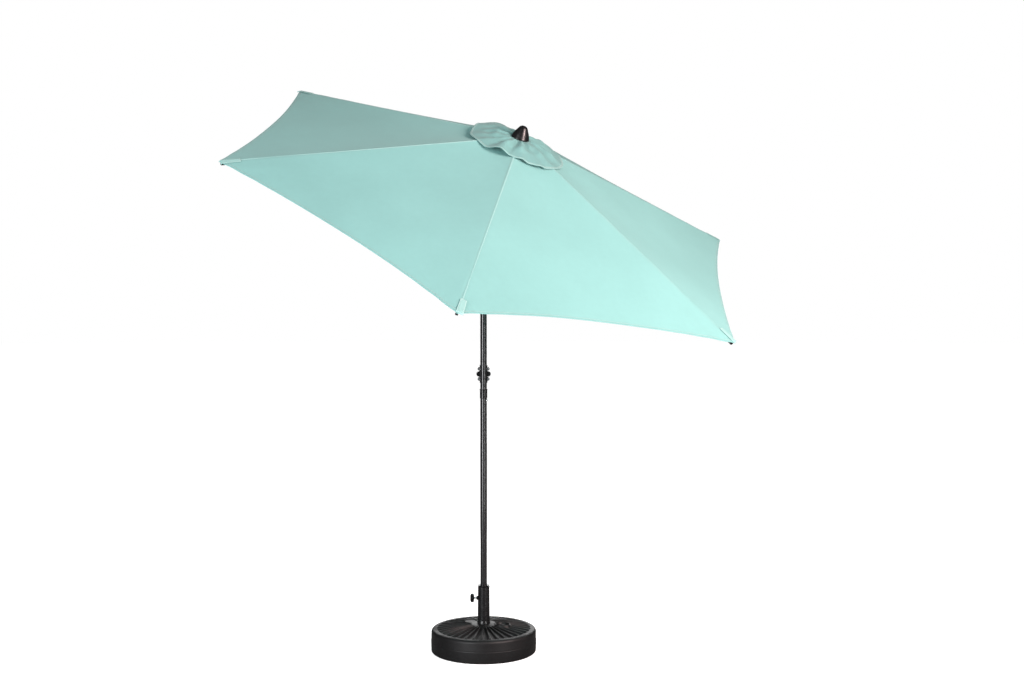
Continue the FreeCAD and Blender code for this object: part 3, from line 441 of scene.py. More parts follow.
# ---------------------------------------------------------------- mesh helpers
def new_piece(name, bm, finish, smooth=True):
    """Makes an object at the origin from a bmesh, with one finish."""
    mesh = bpy.data.meshes.new(name)
    bm.to_mesh(mesh)
    bm.free()
    piece = bpy.data.objects.new(name, mesh)
    bpy.context.scene.collection.objects.link(piece)
    mesh.materials.append(finish)
    for face in mesh.polygons:
        face.use_smooth = smooth
    return piece


def thicken(piece, thickness, offset, rim=True):
    """Gives cloth its thickness, with or without faces round its edge."""
    wall = piece.modifiers.new("wall", "SOLIDIFY")
    wall.thickness = thickness
    wall.offset = offset
    wall.use_rim = rim
    return piece


def spun_piece(outline, steps):
    """A bmesh spun about Z from (radius, height) points."""
    bm = bmesh.new()
    corners = [bm.verts.new((r, 0.0, z)) for r, z in outline]
    edges = [bm.edges.new(pair) for pair in zip(corners, corners[1:])]
    bmesh.ops.spin(
        bm, geom=corners + edges, cent=(0, 0, 0), axis=(0, 0, 1), angle=2 * math.pi,
        steps=steps, use_merge=True, use_duplicate=False)
    bmesh.ops.remove_doubles(bm, verts=bm.verts, dist=1e-6)
    bmesh.ops.recalc_face_normals(bm, faces=bm.faces)
    return bm


def grid_piece(across, along):
    """A bmesh grid with x and y from -1 to 1."""
    bm = bmesh.new()
    bmesh.ops.create_grid(bm, x_segments=across, y_segments=along, size=1.0)
    return bm


def arc(centre_r, centre_z, radius, start, end, count):
    """Points of an arc in the half section, between two angles in degrees."""
    points = []
    for i in range(count + 1):
        angle = math.radians(start + (end - start) * i / count)
        points.append((centre_r + radius * math.cos(angle), centre_z + radius * math.sin(angle)))
    return points


# ---------------------------------------------------------------- canopy shape
# The "stitch" attribute is the distance from a row of stitches, divided by the row's width.
NO_STITCH = 9.0
HEM_STITCH = 0.003
SEAM_STITCH = 0.0022
CORNER_FOLD_HEIGHT = 0.0016
CORNER_FOLD_START = 0.62
RIPPLE_HEIGHT = 0.0035


def panel_point(rib, side, share, radius, sizes):
    """A point on the canopy's outer face, in the head frame.

    share runs from 0 on the rib to 1 half-way to the next rib; radius is measured along the ribs.
    """
    turn = rib.azimuth
    next_turn = turn + side * 2 * HALF_STEP
    on_rib = Vector((math.cos(turn), math.sin(turn), -CANOPY_SLOPE)) * radius
    on_next = Vector((math.cos(next_turn), math.sin(next_turn), -CANOPY_SLOPE)) * radius
    middle = (on_rib + on_next) / 2
    p = on_rib.lerp(middle, share)
    out = radius / CANOPY_RADIUS
    bow = 2 * share - share * share
    inward = -middle.normalized()
    p += inward * sizes.hem_sag * bow * out ** 3
    p.z -= sizes.panel_dip * bow * math.sin(math.pi * min(1.0, out * 0.92)) ** 0.8
    p.z += APEX
    return p


def corner_folds(share, side, radius):
    """Small tension folds that fan out from each tip along the hem."""
    out = radius / CANOPY_RADIUS
    near_tip = max(0.0, out - CORNER_FOLD_START) / (1 - CORNER_FOLD_START)
    fade = near_tip ** 2 * math.exp(-share * 3.2) * (1 - share)
    wave = math.sin(share * 34 + side * 1.3 + out * 9)
    return CORNER_FOLD_HEIGHT * fade * wave


def cloth_ripple(p, share):
    """Slow unevenness of slack cloth, none at the seams."""
    wander = noise.noise(Vector((p.x * 2.1, p.y * 2.1, 3.7)))
    return RIPPLE_HEIGHT * wander * math.sin(math.pi * min(share, 0.5))


def sector_point(rib, t, v, sizes):
    """Outer face of one sector: t from -1 to 1 across it, v from 0 at the vent to 1 at the hem."""
    side = 1 if t >= 0 else -1
    share = abs(t)
    radius = VENT_RADIUS + (CANOPY_RADIUS - VENT_RADIUS) * v
    p = panel_point(rib, side, share, radius, sizes)
    p.z += corner_folds(share, side, radius) + cloth_ripple(p, share)
    return HEAD @ p


def store(bm, name, values):
    """Keeps one number per corner point, for the finish to read."""
    layer = bm.verts.layers.float.new(name)
    for v, value in zip(bm.verts, values):
        v[layer] = value


def set_uv(bm, places):
    """Puts (u, v) metres on every corner."""
    layer = bm.loops.layers.uv.new("UVMap")
    for face in bm.faces:
        for loop in face.loops:
            loop[layer].uv = places[loop.vert.index]


def cloth_piece(name, bm, places, stitch, run, painted_shading, finish):
    """Finishes a cloth mesh: its weave map and its sewing."""
    bm.verts.index_update()
    store(bm, "stitch", stitch)
    store(bm, "stitch_run", run)
    store(bm, "painted_shading", painted_shading)
    set_uv(bm, places)
    return new_piece(name, bm, finish)


def shaped_cloth(name, across, along, shape, finish):
    """A grid of cloth whose corners are placed by shape(x, y) -> (point, uv, stitch, run, painted light
    and shade).
    """
    bm = grid_piece(across, along)
    rows = [shape(v.co.x, (v.co.y + 1) / 2) for v in bm.verts]
    points, places, stitch, run, painted_shading = zip(*rows)
    for v, point in zip(bm.verts, points):
        v.co = point
    bm.normal_update()
    return cloth_piece(name, bm, places, stitch, run, painted_shading, finish)


def furl(piece, rib, keep):
    """Puts the cloth on its rib's body with a mesh of its own, and hides the frame's canopy."""
    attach(piece, rib.body)
    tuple(rib.axis)
    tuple(rib.hinge)
    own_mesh(piece)
    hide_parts("canopy")


def make_sector(rib, sizes, finish):
    """One rib's share of the canopy, from mid-panel to mid-panel."""
    length = CANOPY_RADIUS - VENT_RADIUS

    def shape(t, v):
        p = sector_point(rib, t, v, sizes)
        half = math.sin(HALF_STEP) * (VENT_RADIUS + length * v)
        return p, (t * half, v * length), NO_STITCH, 0.0, 0.0

    piece = shaped_cloth("canopy_sector_%d" % rib.number, sizes.across, sizes.along, shape, finish)
    return thicken(piece, sizes.thickness, -1.0, rim=False)


def edge_point(rib, t, back, sizes):
    """A point on the sector, a distance back from its hem."""
    length = CANOPY_RADIUS - VENT_RADIUS
    return sector_point(rib, t, 1 - back / length, sizes)


def up_at(rib, t, sizes):
    """The outward normal of the cloth near the hem."""
    a = edge_point(rib, max(-1, t - 0.02), 0.01, sizes)
    b = edge_point(rib, min(1, t + 0.02), 0.01, sizes)
    c = edge_point(rib, t, 0.05, sizes)
    normal = (b - a).cross(c - a)
    return normal.normalized() * (1 if normal.z > 0 else -1)


def make_hem(rib, sizes, finish):
    """The folded edge: a band that wraps from the top face round the edge to the underside."""
    width = sizes.hem_width
    section = (
        (width, 0.0006), (width * 0.55, 0.0011), (0.003, 0.0012), (-0.0012, 0.0002),
        (-0.0012, -0.0010), (0.003, -0.0019), (width * 0.55, -0.0018), (width, -0.0013))
    last = len(section) - 1
    half = math.sin(HALF_STEP) * CANOPY_RADIUS

    def shape(t, v):
        back, rise = section[round(v * last)]
        p = edge_point(rib, t, back, sizes) + up_at(rib, t, sizes) * rise
        stitch = (back - width * 0.62) / HEM_STITCH if rise > 0 else NO_STITCH
        # The whole hem carries painted shade, for the light that two layers of cloth hold back.
        return p, (t * half, back), stitch, t * half, 1.0

    return shaped_cloth("hem_%d" % rib.number, sizes.across * 2, last, shape, finish)


def make_seam(rib, sizes, finish):
    """The felled seam that runs down the rib, with a stitched edge on each side."""
    length = CANOPY_RADIUS - VENT_RADIUS
    half = sizes.seam_width / 2

    def shape(x, v):
        radius = VENT_RADIUS + length * v
        turn = rib.azimuth
        out = Vector((math.cos(turn), math.sin(turn), 0)) * radius
        across = Vector((-math.sin(turn), math.cos(turn), 0)) * (half * x)
        flat = (1 - abs(x) ** 4) * 0.0011
        p = out + across
        drop = abs(half * x) * CANOPY_SLOPE * math.tan(HALF_STEP)
        p.z = APEX - CANOPY_SLOPE * radius - drop + flat + 0.0001
        stitch = (abs(half * x) - half * 0.72) / SEAM_STITCH
        # Painted shade along one side of the seam, the side that the raised seam shades.
        painted_shading = 2.0 if x < -0.4 else 0.0
        return HEAD @ p, (half * x, v * length), stitch, v * length, painted_shading

    return shaped_cloth("seam_%d" % rib.number, 8, 90, shape, finish)


POCKET_LENGTH = 0.076
POCKET_LIP = 0.007
POCKET_BEND = 0.004
POCKET_HALF_WIDTH = 0.0155
POCKET_OFFSET = 0.0085
POCKET_RISE = 0.0024
POCKET_INNER_SHARE = 0.86
POCKET_STITCH_BACK = 0.003


def make_pocket(rib, sizes, finish):
    """The strip of two layers over a rib's tip: flat on the cloth beside the seam, turned down at its
    end, and lightened by a painted highlight.
    """
    end = max(reach(p) for p in head_points("rib_tip_%d" % rib.number)) + 0.0016
    turn = rib.azimuth
    out = Vector((math.cos(turn), math.sin(turn), -CANOPY_SLOPE)).normalized()
    across = Vector((-math.sin(turn), math.cos(turn), 0))
    up = out.cross(across)
    ridge = Vector((math.cos(turn), math.sin(turn), 0))

    def shape(x, v):
        run = (POCKET_LENGTH + POCKET_LIP) * v
        flat = min(run, POCKET_LENGTH)
        past = max(0.0, run - POCKET_LENGTH)
        turned = min(past / POCKET_BEND, math.pi / 2)
        drop = max(0.0, run - POCKET_LENGTH - POCKET_BEND * math.pi / 2)
        narrow = POCKET_INNER_SHARE + (1 - POCKET_INNER_SHARE) * v
        y = (POCKET_OFFSET + POCKET_HALF_WIDTH * x) * narrow
        radius = end - POCKET_BEND - POCKET_LENGTH + flat
        p = ridge * radius + across * y
        aside = abs(y) * CANOPY_SLOPE * math.tan(HALF_STEP)
        p.z = APEX - CANOPY_SLOPE * radius - aside + POCKET_RISE
        p += out * (POCKET_BEND * math.sin(turned))
        p -= up * (POCKET_BEND * (1 - math.cos(turned)) + drop)
        edge = min(POCKET_HALF_WIDTH * (1 - abs(x)), run)
        stitch = (edge - POCKET_STITCH_BACK) / SEAM_STITCH
        # The whole pocket carries a painted highlight.
        return HEAD @ p, (y, run), stitch, y + run, -1.0

    piece = shaped_cloth("tip_pocket_%d" % rib.number, 24, 44, shape, finish)
    return thicken(piece, sizes.thickness * 1.6, -1.0)


class UMBRELLA_OT_canopy(bpy.types.Operator):
    """Sews the canopy: six sectors, hems, seams and tip pockets"""

    bl_idname = "umbrella.canopy"
    bl_label = "Canopy"

    def execute(self, context):
        sizes = context.scene.umbrella_canopy
        finish = cloth_finish("canopy_cloth", sizes.colour)
        keep = sizes.folded_share
        for rib in RIBS:
            sector = make_sector(rib, sizes, finish)
            hem = make_hem(rib, sizes, finish)
            seam = make_seam(rib, sizes, finish)
            pocket = make_pocket(rib, sizes, finish)
            for piece in (sector, hem):
                furl(piece, rib, keep)
            for piece in (seam, pocket):
                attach(piece, rib.body)
        return {"FINISHED"}


# ---------------------------------------------------------------- vent flap
# Round the flap: direction in degrees, lift of the edge in millimetres, reach in millimetres.
FLAP_WAVES = (
    (19, 2, 222), (48, 6, 226), (79, 3, 226), (110, 20, 232), (139, 6, 236), (170, 40, 240),
    (199, 22, 238), (228, 5, 224), (256, 3, 208), (276, 3, 202), (299, 32, 198), (315, 6, 188),
    (319, 2, 186), (331, 11, 188), (342, 2, 192), (356, 10, 206), (366, 3, 214),
)
FLAP_HELD_RADIUS = 0.043
FLAP_HOLE_RADIUS = 0.006
FLAP_CLEARANCE = 0.0012
FLAP_HEM_WIDTH = 0.010
FLAP_STITCH_BACK = 0.0075
FLAP_HEM_SECTION = (
    (0.0085, 0.0016), (0.004, 0.0022), (-0.0008, 0.0014), (-0.0008, -0.0006), (0.004, -0.0012))


def flap_edge(turn):
    """Lift and reach of the flap's edge in one direction, in metres, eased between the waves."""
    degrees = (math.degrees(turn) - FLAP_WAVES[0][0]) % 360 + FLAP_WAVES[0][0]
    rows = FLAP_WAVES + ((FLAP_WAVES[0][0] + 360,) + FLAP_WAVES[0][1:],)
    for low, high in zip(rows, rows[1:]):
        if degrees <= high[0]:
            share = (degrees - low[0]) / (high[0] - low[0])
            share = share * share * (3 - 2 * share)
            lift = low[1] + (high[1] - low[1]) * share
            return lift / 1000, (low[2] + (high[2] - low[2]) * share) / 1000
    return 0.0, FLAP_RADIUS


def canopy_top(x, y):
    """Height of the canopy's outer face under a point, in the head frame."""
    turn = math.atan2(y, x)
    offset = (turn - RIBS[0].azimuth) % (2 * HALF_STEP) - HALF_STEP
    return APEX - CANOPY_SLOPE * math.hypot(x, y) * math.cos(offset) / math.cos(HALF_STEP)


def flap_folds(x, y, turn, free, sizes):
    """Height of the soft folds and dents, greatest half-way from the finial to the edge."""
    pleats = math.sin(8 * turn + 1.6 * math.sin(2 * turn)) + 0.7 * math.sin(13 * turn + 2.0 + 3 * free)
    dents = noise.noise(Vector((x * 22, y * 22, 5.1))) * math.sin(math.pi * free)
    middle = math.sin(math.pi * free ** 0.7) if free > 0 else 0.0
    return sizes.fold_height * (1.0 + pleats * 0.62 + dents * 0.9) * middle


def flap_gathers(turn, free, sizes):
    """Height of the tight gathers, which start where the finial holds the cloth."""
    gathers = math.sin(23 * turn + 4 * free) * free ** 0.6 * (1 - free) ** 2
    return sizes.gather_height * (1 + gathers * 4) * free * (1 - free)


def flap_point(turn, share, sizes):
    """A point on the flap: flat under the finial, then folds that open towards the edge."""
    lift, edge = flap_edge(turn)
    radius = FLAP_HOLE_RADIUS + (edge - FLAP_HOLE_RADIUS) * share
    x = radius * math.cos(turn)
    y = radius * math.sin(turn)
    free = max(0.0, (radius - FLAP_HELD_RADIUS) / (edge - FLAP_HELD_RADIUS))
    rise = FLAP_CLEARANCE + lift * free ** 1.5 + flap_folds(x, y, turn, free, sizes)
    rise += flap_gathers(turn, free, sizes)
    flat = APEX - CANOPY_SLOPE * radius
    level = flat + (canopy_top(x, y) - flat) * min(1.0, free * 4)
    return Vector((x, y, level + rise))


def flap_cloth(sizes, finish):
    """The whole flap as one cloth, with its sewing and the rib that each face belongs to."""
    bm = grid_piece(sizes.rings, sizes.spokes)
    length = FLAP_RADIUS - FLAP_HOLE_RADIUS
    places, stitch, run, painted_shading = [], [], [], []
    for v in bm.verts:
        share = (v.co.x + 1) / 2
        turn = FIRST_EDGE + (v.co.y + 1) * math.pi
        back = (1 - share) * length
        places.append((share * length * math.cos(turn), share * length * math.sin(turn)))
        stitch.append((back - FLAP_STITCH_BACK) / HEM_STITCH)
        run.append(turn * FLAP_RADIUS)
        # Painted shade on the hem band round the flap's edge, where the cloth lies in two layers.
        painted_shading.append(1.0 if back < FLAP_HEM_WIDTH else 0.0)
        v.co = HEAD @ flap_point(turn, share, sizes)
    owner = bm.faces.layers.int.new("rib")
    for face in bm.faces:
        face[owner] = rib_at(HEAD_INVERSE @ face.calc_center_median())
    whole = cloth_piece("flap_whole", bm, places, stitch, run, painted_shading, finish)
    closed = bmesh.new()
    closed.from_mesh(whole.data)
    bmesh.ops.remove_doubles(closed, verts=closed.verts, dist=1e-6)
    bmesh.ops.recalc_face_normals(closed, faces=closed.faces)
    closed.to_mesh(whole.data)
    closed.free()
    return whole


def cut_flap(whole, rib, sizes):
    """One rib's share of the flap, which keeps the whole cloth's shading at its cut edges."""
    wall = whole.data.copy()
    keep = bmesh.new()
    keep.from_mesh(wall)
    owner = keep.faces.layers.int["rib"]
    shade = keep.verts.layers.float_vector.new("shade")
    for v in keep.verts:
        v[shade] = v.normal
    others = [face for face in keep.faces if face[owner] != rib.number]
    bmesh.ops.delete(keep, geom=others, context="FACES")
    keep.to_mesh(wall)
    keep.free()
    normals = [item.vector for item in wall.attributes["shade"].data]
    wall.normals_split_custom_set_from_vertices(normals)
    piece = bpy.data.objects.new("vent_flap_%d" % rib.number, wall)
    bpy.context.scene.collection.objects.link(piece)
    return thicken(piece, sizes.thickness, 1.0, rim=False)


def flap_rim(mesh):
    """The edges round the outside of the whole flap, each with its rib's number."""
    upright = [HEAD_INVERSE @ v.co for v in mesh.vertices]
    uses = {}
    for face in mesh.polygons:
        for key in face.edge_keys:
            uses[key] = uses.get(key, 0) + 1
    rim = []
    for key, count in uses.items():
        if count == 1 and reach(upright[key[0]]) > FLAP_RADIUS * 0.5:
            rim.append((key, rib_at((upright[key[0]] + upright[key[1]]) / 2)))
    return rim


def make_flap_hem(whole, rib):
    """The narrow turned edge of one share of the flap."""
    mesh = whole.data
    bm = bmesh.new()
    up = HEAD.to_3x3() @ Vector((0, 0, 1))
    centre = HEAD @ Vector((0, 0, APEX))
    strips = {}
    for key, number in flap_rim(mesh):
        if number != rib.number:
            continue
        for index in key:
            if index in strips:
                continue
            co = mesh.vertices[index].co
            inward = (centre - co).normalized()
            places = [co + inward * back + up * rise for back, rise in FLAP_HEM_SECTION]
            strips[index] = [bm.verts.new(place) for place in places]
        here, there = strips[key[0]], strips[key[1]]
        for corners in zip(here, here[1:], there[1:], there):
            bm.faces.new(corners)
    bmesh.ops.recalc_face_normals(bm, faces=bm.faces)
    bm.verts.index_update()
    count = len(bm.verts)
    weave = [(v.co.x, v.co.y) for v in bm.verts]
    # The flap's turned edge carries a painted highlight.
    return cloth_piece(
        "flap_hem_%d" % rib.number, bm, weave, [NO_STITCH] * count, [0.0] * count,
        [-1.0] * count, mesh.materials[0])


class UMBRELLA_OT_flap(bpy.types.Operator):
    """Drapes the ruffled vent flap over the crown"""

    bl_idname = "umbrella.flap"
    bl_label = "Vent flap"

    def execute(self, context):
        sizes = context.scene.umbrella_flap
        cloth = context.scene.umbrella_canopy
        # The flap's cloth is a darker copy of the canopy's cloth, as painted shade.
        whole = flap_cloth(sizes, cloth_finish("flap_cloth", [c * sizes.shade for c in cloth.colour]))
        for rib in RIBS:
            share = cut_flap(whole, rib, cloth)
            hem = make_flap_hem(whole, rib)
            for piece in (share, hem):
                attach(piece, rib.body)
                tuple(rib.axis)
                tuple(rib.hinge)
                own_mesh(piece)
                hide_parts("vent_flap")
        bpy.data.objects.remove(whole)
        return {"FINISHED"}


# ---------------------------------------------------------------- base
BASE_EDGE = 0.014
DOME_INNER = 0.030
GROOVE_START = 0.052
GROOVE_MARGIN = 0.012
GROOVE_LIP = 0.0028
FILLER_LEVEL = BASE_TOP - 0.009
FILLER_MOUTH = 0.0195
FILLER_DEPTH = 0.016
FILLER_RING = 0.035
FILLER_RING_WIDTH = 0.0038
FILLER_RING_HEIGHT = 0.0085
FILLER_DISH = 0.032
FILLER_DISH_DEPTH = 0.006
FILLER_REACH = 0.046
FILLER_BLEND = 0.008
PAD_MIDDLE = Vector((-0.078, -0.020, 0.0))
PAD_LEVEL = BASE_TOP - 0.0045
PAD_RADIUS = 0.030
PAD_BLEND = 0.004


def level_gap(p, q):
    """Distance between two points, seen from above."""
    return math.hypot(p.x - q.x, p.y - q.y)


def base_outline():
    """Half section of the base's side, from the underside up to the rim, and the rim's height."""
    edge = BASE_EDGE
    rim = max(p.z for p in BASE_POINTS if reach(p) > BASE_RADIUS - edge - 0.001)
    split = rim * 0.52
    points = [(0.0, 0.0), (BASE_RADIUS * 0.5, 0.0), (BASE_RADIUS - 0.012, 0.0)]
    points += arc(BASE_RADIUS - 0.009, 0.008, 0.008, -80, 0, 5)
    points += [(BASE_RADIUS, split - 0.004), (BASE_RADIUS + 0.0002, split - 0.0012)]
    points += [(BASE_RADIUS - 0.0008, split), (BASE_RADIUS - 0.0004, split + 0.0012)]
    points += [(BASE_RADIUS - 0.001, split + 0.006), (BASE_RADIUS - 0.0012, rim - edge)]
    points += arc(BASE_RADIUS - 0.0012 - edge, rim - edge, edge, 12, 78, 6)
    return points, rim


def groove_profile(offset):
    """How much bed and how much raised lip a channel has, at a share of the way across it."""
    bed = max(0.0, 1 - (offset / 0.34) ** 4) if offset < 0.34 else 0.0
    lip = math.exp(-((offset - 0.44) / 0.07) ** 2)
    return bed, lip


def dome_surface(radius, turn, sizes, outer, rim):
    """Height of the base's sloping top, with its channels, at a place."""
    slope = (BASE_TOP - rim) / (outer - DOME_INNER)
    share = (radius - GROOVE_START) / (outer - GROOVE_MARGIN - GROOVE_START)
    ends = min(1.0, max(0.0, min(share * 5, (1 - share) * 14)))
    ends = ends * ends * (3 - 2 * ends)
    offset = abs((turn * sizes.groove_count / (2 * math.pi)) % 1.0 - 0.5)
    bed, lip = groove_profile(offset)
    return rim + slope * (outer - radius) + ends * (lip * GROOVE_LIP - bed * sizes.groove_depth)


def base_bumps(p, z):
    """The filler's raised rim and the plain disc moulded on the other side."""
    away = level_gap(p, FILLER_MIDDLE)
    if away < FILLER_REACH:
        ring = math.exp(-((away - FILLER_RING) / FILLER_RING_WIDTH) ** 2) * FILLER_RING_HEIGHT
        dish = max(0.0, 1 - away / FILLER_DISH) * FILLER_DISH_DEPTH
        mix = min(1.0, (FILLER_REACH - away) / FILLER_BLEND)
        z = z + (FILLER_LEVEL + ring - dish - z) * mix
    gap = level_gap(p, PAD_MIDDLE)
    if gap < PAD_RADIUS:
        mix = min(1.0, (PAD_RADIUS - gap) / PAD_BLEND)
        z = z + (PAD_LEVEL - z) * mix
    return z


def open_filler(bm, rim):
    """Cuts the filler's mouth in the top and turns its edge down."""
    hole = []
    for face in bm.faces:
        centre = face.calc_center_median()
        if level_gap(centre, FILLER_MIDDLE) < FILLER_MOUTH and centre.z > rim * 0.8:
            hole.append(face)
    bmesh.ops.delete(bm, geom=hole, context="FACES")
    edge = [e for e in bm.edges if e.is_boundary and e.calc_length() < 0.02
            and level_gap(e.verts[0].co, FILLER_MIDDLE) < 0.03]
    turned = bmesh.ops.extrude_edge_only(bm, edges=edge)["geom"]
    for v in [g for g in turned if isinstance(g, bmesh.types.BMVert)]:
        away = Vector((v.co.x - FILLER_MIDDLE.x, v.co.y - FILLER_MIDDLE.y))
        away = away.normalized() * FILLER_MOUTH
        v.co = (FILLER_MIDDLE.x + away.x, FILLER_MIDDLE.y + away.y, v.co.z - FILLER_DEPTH)


def make_base(sizes, finish):
    """The blow-moulded tank: spun sides, and a finely divided top with its channels."""
    outline, rim = base_outline()
    outer = outline[-1][0]
    inner = 0.0291
    rings = 64
    outline += [(outer - (outer - inner) * i / rings, rim) for i in range(1, rings + 1)]
    bm = spun_piece(outline, 432)
    for v in bm.verts:
        radius = reach(v.co)
        if v.co.z > rim - 0.0001 and radius < outer - 0.0001:
            turn = math.atan2(v.co.y, v.co.x)
            v.co.z = base_bumps(v.co, dome_surface(radius, turn, sizes, outer, rim))
    open_filler(bm, rim)
    piece = new_piece("base_tank", bm, finish)
    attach(piece, "base")
    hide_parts("base_shell")
    return piece


class UMBRELLA_OT_base(bpy.types.Operator):
    """Moulds the round base"""

    bl_idname = "umbrella.base"
    bl_label = "Base"

    def execute(self, context):
        sizes = context.scene.umbrella_base
        finish = pebbled_finish("base_plastic", sizes.colour, 0.50, 420.0)
        make_base(sizes, finish)
        return {"FINISHED"}


# ---------------------------------------------------------------- finial
FINIAL_REACH = 0.066
FINIAL_LIFT = 0.0015
# Half section of the bell: radius and height, in metres.
FINIAL_BELL = (
    (0.0, 0.0), (0.0428, 0.0), (0.0428, 0.002), (0.0408, 0.006), (0.0372, 0.015), (0.0330, 0.0255),
    (0.0285, 0.033), (0.0245, 0.040), (0.0218, 0.0455), (0.0190, 0.0500), (0.0152, 0.0540),
    (0.0105, 0.0566), (0.0053, 0.0579), (0.0, 0.0582))


class UMBRELLA_OT_finial(bpy.types.Operator):
    """Turns the bell-shaped finial"""

    bl_idname = "umbrella.finial"
    bl_label = "Finial"

    def execute(self, context):
        colours = context.scene.umbrella_paint
        seat = max(p.z for p in head_points("finial")) - FINIAL_REACH
        bm = spun_piece(FINIAL_BELL, 96)
        for v in bm.verts:
            v.co = HEAD @ (v.co + Vector((0.0, 0.0, seat + FINIAL_LIFT)))
        piece = new_piece("finial_bell", bm, moulded_finish("finial_plastic", colours.trim, 0.30))
        edges = piece.modifiers.new("skirt", "BEVEL")
        edges.width = 0.0006
        edges.segments = 2
        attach(piece, "head")
        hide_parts("finial")
        return {"FINISHED"}


# ---------------------------------------------------------------- fittings
def paint_nodes(finish, *names):
    """Gives CAD nodes a finish."""
    for name in names:
        mesh = frame["nodes"][name].data
        mesh.materials.clear()
        mesh.materials.append(finish)


def numbered(stem):
    """The names of a node that each rib has."""
    return ["%s_%d" % (stem, n) for n in range(1, len(RIBS) + 1)]


class UMBRELLA_OT_finishes(bpy.types.Operator):
    """Finishes the frame's own parts"""

    bl_idname = "umbrella.finishes"
    bl_label = "Frame finishes"

    def execute(self, context):
        colours = context.scene.umbrella_paint
        base = bpy.data.materials["base_plastic"]
        mast = painted_finish("mast_paint", colours.mast, 0.23)
        rib = painted_finish("rib_paint", colours.mast, 0.36)
        trim = moulded_finish("trim_plastic", colours.trim, 0.24)
        steel = plated_finish("zinc_steel", (0.72, 0.74, 0.76), 0.30)
        chrome = plated_finish("button_steel", (0.92, 0.93, 0.94), 0.34)
        paint_nodes(base, "filler_cap")
        paint_nodes(mast, "lower_pole", "upper_pole", "top_pole", "crank_arm")
        paint_nodes(rib, *numbered("rib"), *numbered("strut"))
        paint_nodes(
            trim, "sleeve", "sleeve_collar", "mast_cup", "clamp_knob", "pole_foot", "joint_collar",
            "crank_housing", "crank_cover", "crank_spindle", "crank_grip", "tilt_yoke", "tilt_knuckle",
            "tilt_button", "top_hub", "runner", "lift_pulley", *numbered("rib_tip"))
        paint_nodes(
            steel, "clamp_stud", "case_screws", "tilt_pin", "tilt_spring", "snap_spring", "pulley_pin",
            "hub_pins", "runner_pins", *numbered("strut_pin"))
        paint_nodes(chrome, "snap_button")
        return {"FINISHED"}


# ---------------------------------------------------------------- stage
def softbox(name, place, aim, width, height, power, colour):
    """A rectangular light that faces a point."""
    data = bpy.data.lights.new(name, "AREA")
    data.shape = "RECTANGLE"
    data.size = width
    data.size_y = height
    data.energy = power
    data.color = colour
    light = bpy.data.objects.new(name, data)
    light.location = place
    light.rotation_euler = (Vector(aim) - Vector(place)).to_track_quat("-Z", "Y").to_euler()
    light.visible_camera = False
    bpy.context.scene.collection.objects.link(light)


# The camera: metres, degrees and a lens in millimetres.
VIEW_AZIMUTH = math.radians(52.3)
CAMERA_DISTANCE = 5.98
CAMERA_HEIGHT = 1.617
CAMERA_YAW = 1.29
CAMERA_PITCH = 1.4
CAMERA_LENS = 44.4
# The lights: name, distance, turn from the camera, height, aim, width, height, watts, colour.
LIGHTS = (
    ("key", 3.9, 46, 3.1, (0.3, 0, 2.1), 0.9, 2.0, 245.0, (1.0, 0.77, 0.74)),
    ("strip", 3.9, 40, 1.1, (0, 0, 1.1), 0.34, 2.2, 34.0, (1.0, 1.0, 1.0)),
    ("fill", 4.2, -34, 1.7, (0, 0, 1.6), 1.0, 3.4, 150.0, (0.96, 0.97, 1.0)),
    ("back", 3.0, 176, 1.2, (0, 0, 0.1), 2.4, 1.2, 30.0, (1.0, 1.0, 1.0)),
)


def towards_camera(distance, turn=0.0):
    """A level offset from the mast towards the camera, turned to the camera's right."""
    angle = VIEW_AZIMUTH + math.radians(turn)
    return Vector((math.sin(angle), -math.cos(angle), 0)) * distance


def make_camera():
    """The camera, at standing height."""
    data = bpy.data.cameras.new("camera")
    data.lens = CAMERA_LENS
    data.sensor_width = 36.0
    camera = bpy.data.objects.new("camera", data)
    camera.location = towards_camera(CAMERA_DISTANCE) + Vector((0, 0, CAMERA_HEIGHT))
    heading = VIEW_AZIMUTH - math.radians(CAMERA_YAW)
    camera.rotation_euler = (math.radians(90 - CAMERA_PITCH), 0, heading)
    bpy.context.scene.collection.objects.link(camera)
    bpy.context.scene.camera = camera


def make_floor():
    """A wide white floor, which glossy parts see as a dark one."""
    bm = bmesh.new()
    bmesh.ops.create_circle(bm, cap_ends=True, segments=96, radius=60.0)
    f = Finish("studio_floor")
    mirrored = f.node("ShaderNodeLightPath", out="Is Glossy Ray")
    f.finish(
        Base_Color=f.blend(mirrored, (0.9, 0.9, 0.9, 1), (0.12, 0.12, 0.12, 1)),
        Emission_Color=f.blend(mirrored, (1.0, 1.0, 1.0, 1), (0.06, 0.06, 0.06, 1)),
        Roughness=0.9, Specular_IOR_Level=0.1, Emission_Strength=0.66)
    floor = new_piece("studio_floor", bm, f.material, smooth=False)
    floor.data.transform(Matrix.Translation((0, 0, -0.0006)))


def make_world():
    """A white backdrop that lights the scene less than it shows, and glossy parts least."""
    world = bpy.data.worlds.new("studio")
    bpy.context.scene.world = world
    world.use_nodes = True
    tree = world.node_tree
    sky = tree.nodes["Background"]
    sky.inputs[0].default_value = (1.0, 1.0, 1.0, 1.0)
    rays = tree.nodes.new("ShaderNodeLightPath")
    seen = Wire(tree, rays.outputs["Is Camera Ray"])
    mirrored = Wire(tree, rays.outputs["Is Glossy Ray"])
    level = seen * 0.58 + (0.42 - mirrored * 0.34)
    tree.links.new(level.socket, sky.inputs[1])


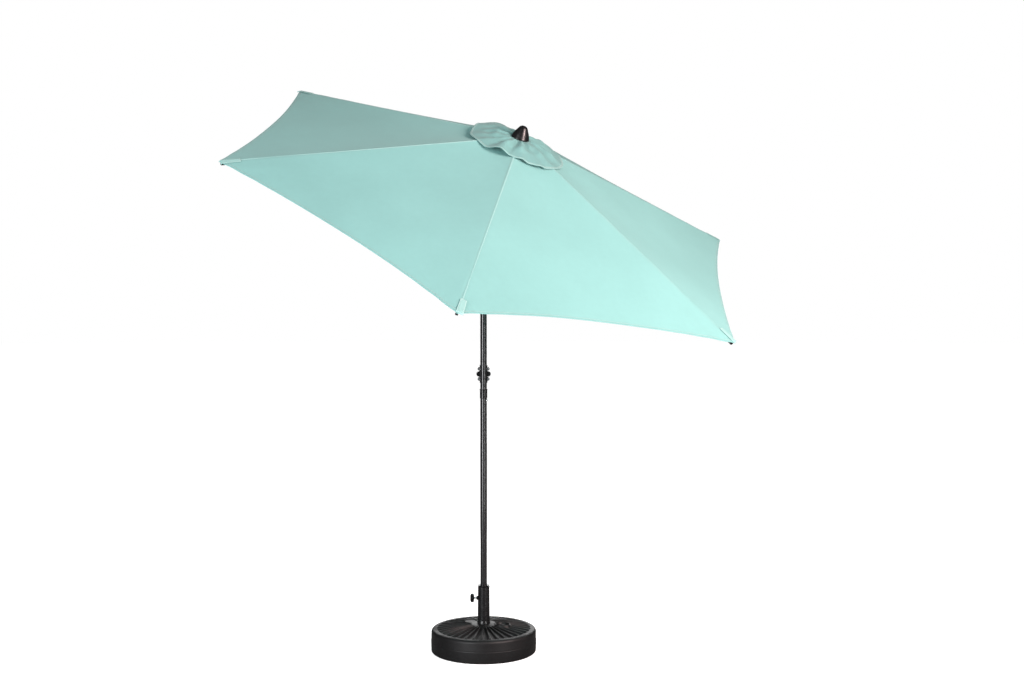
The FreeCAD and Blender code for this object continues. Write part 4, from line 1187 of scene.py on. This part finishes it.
class UMBRELLA_OT_stage(bpy.types.Operator):
    """Sets the floor and the lights"""

    bl_idname = "umbrella.stage"
    bl_label = "Stage"

    def execute(self, context):
        context.scene.view_settings.view_transform = "Standard"
        make_floor()
        make_world()
        for name, distance, turn, height, aim, *rest in LIGHTS:
            place = towards_camera(distance, turn) + Vector((0, 0, height))
            softbox(name, place, aim, *rest)
        return {"FINISHED"}


class UMBRELLA_OT_camera(bpy.types.Operator):
    """Places the camera"""

    bl_idname = "umbrella.camera"
    bl_label = "Camera"

    def execute(self, context):
        make_camera()
        return {"FINISHED"}


class UMBRELLA_PT_panel(bpy.types.Panel):
    """Lists the makers"""

    bl_idname = "UMBRELLA_PT_panel"
    bl_label = "Patio umbrella"
    bl_space_type = "VIEW_3D"
    bl_region_type = "UI"
    bl_category = "Umbrella"

    def draw(self, context):
        for maker in MAKERS:
            self.layout.operator(maker.bl_idname)


GROUPS = {
    "umbrella_canopy": CanopySizes,
    "umbrella_flap": FlapSizes,
    "umbrella_base": BaseSizes,
    "umbrella_paint": PaintColours,
}
MAKERS = (
    UMBRELLA_OT_camera,
    UMBRELLA_OT_canopy,
    UMBRELLA_OT_flap,
    UMBRELLA_OT_base,
    UMBRELLA_OT_finial,
    UMBRELLA_OT_finishes,
    UMBRELLA_OT_stage,
)


def register():
    for group in GROUPS.values():
        bpy.utils.register_class(group)
    for maker in MAKERS:
        bpy.utils.register_class(maker)
    bpy.utils.register_class(UMBRELLA_PT_panel)
    for name, group in GROUPS.items():
        setattr(bpy.types.Scene, name, PointerProperty(type=group))


def unregister():
    for name in GROUPS:
        delattr(bpy.types.Scene, name)
    bpy.utils.unregister_class(UMBRELLA_PT_panel)
    for maker in reversed(MAKERS):
        bpy.utils.unregister_class(maker)
    for group in reversed(list(GROUPS.values())):
        bpy.utils.unregister_class(group)


def main():
    """Makes every piece in order."""
    register()
    bpy.ops.umbrella.camera()
    bpy.ops.umbrella.canopy()
    bpy.ops.umbrella.flap()
    bpy.ops.umbrella.base()
    bpy.ops.umbrella.finial()
    bpy.ops.umbrella.finishes()
    bpy.ops.umbrella.stage()


if __name__ == "__main__":
    main()
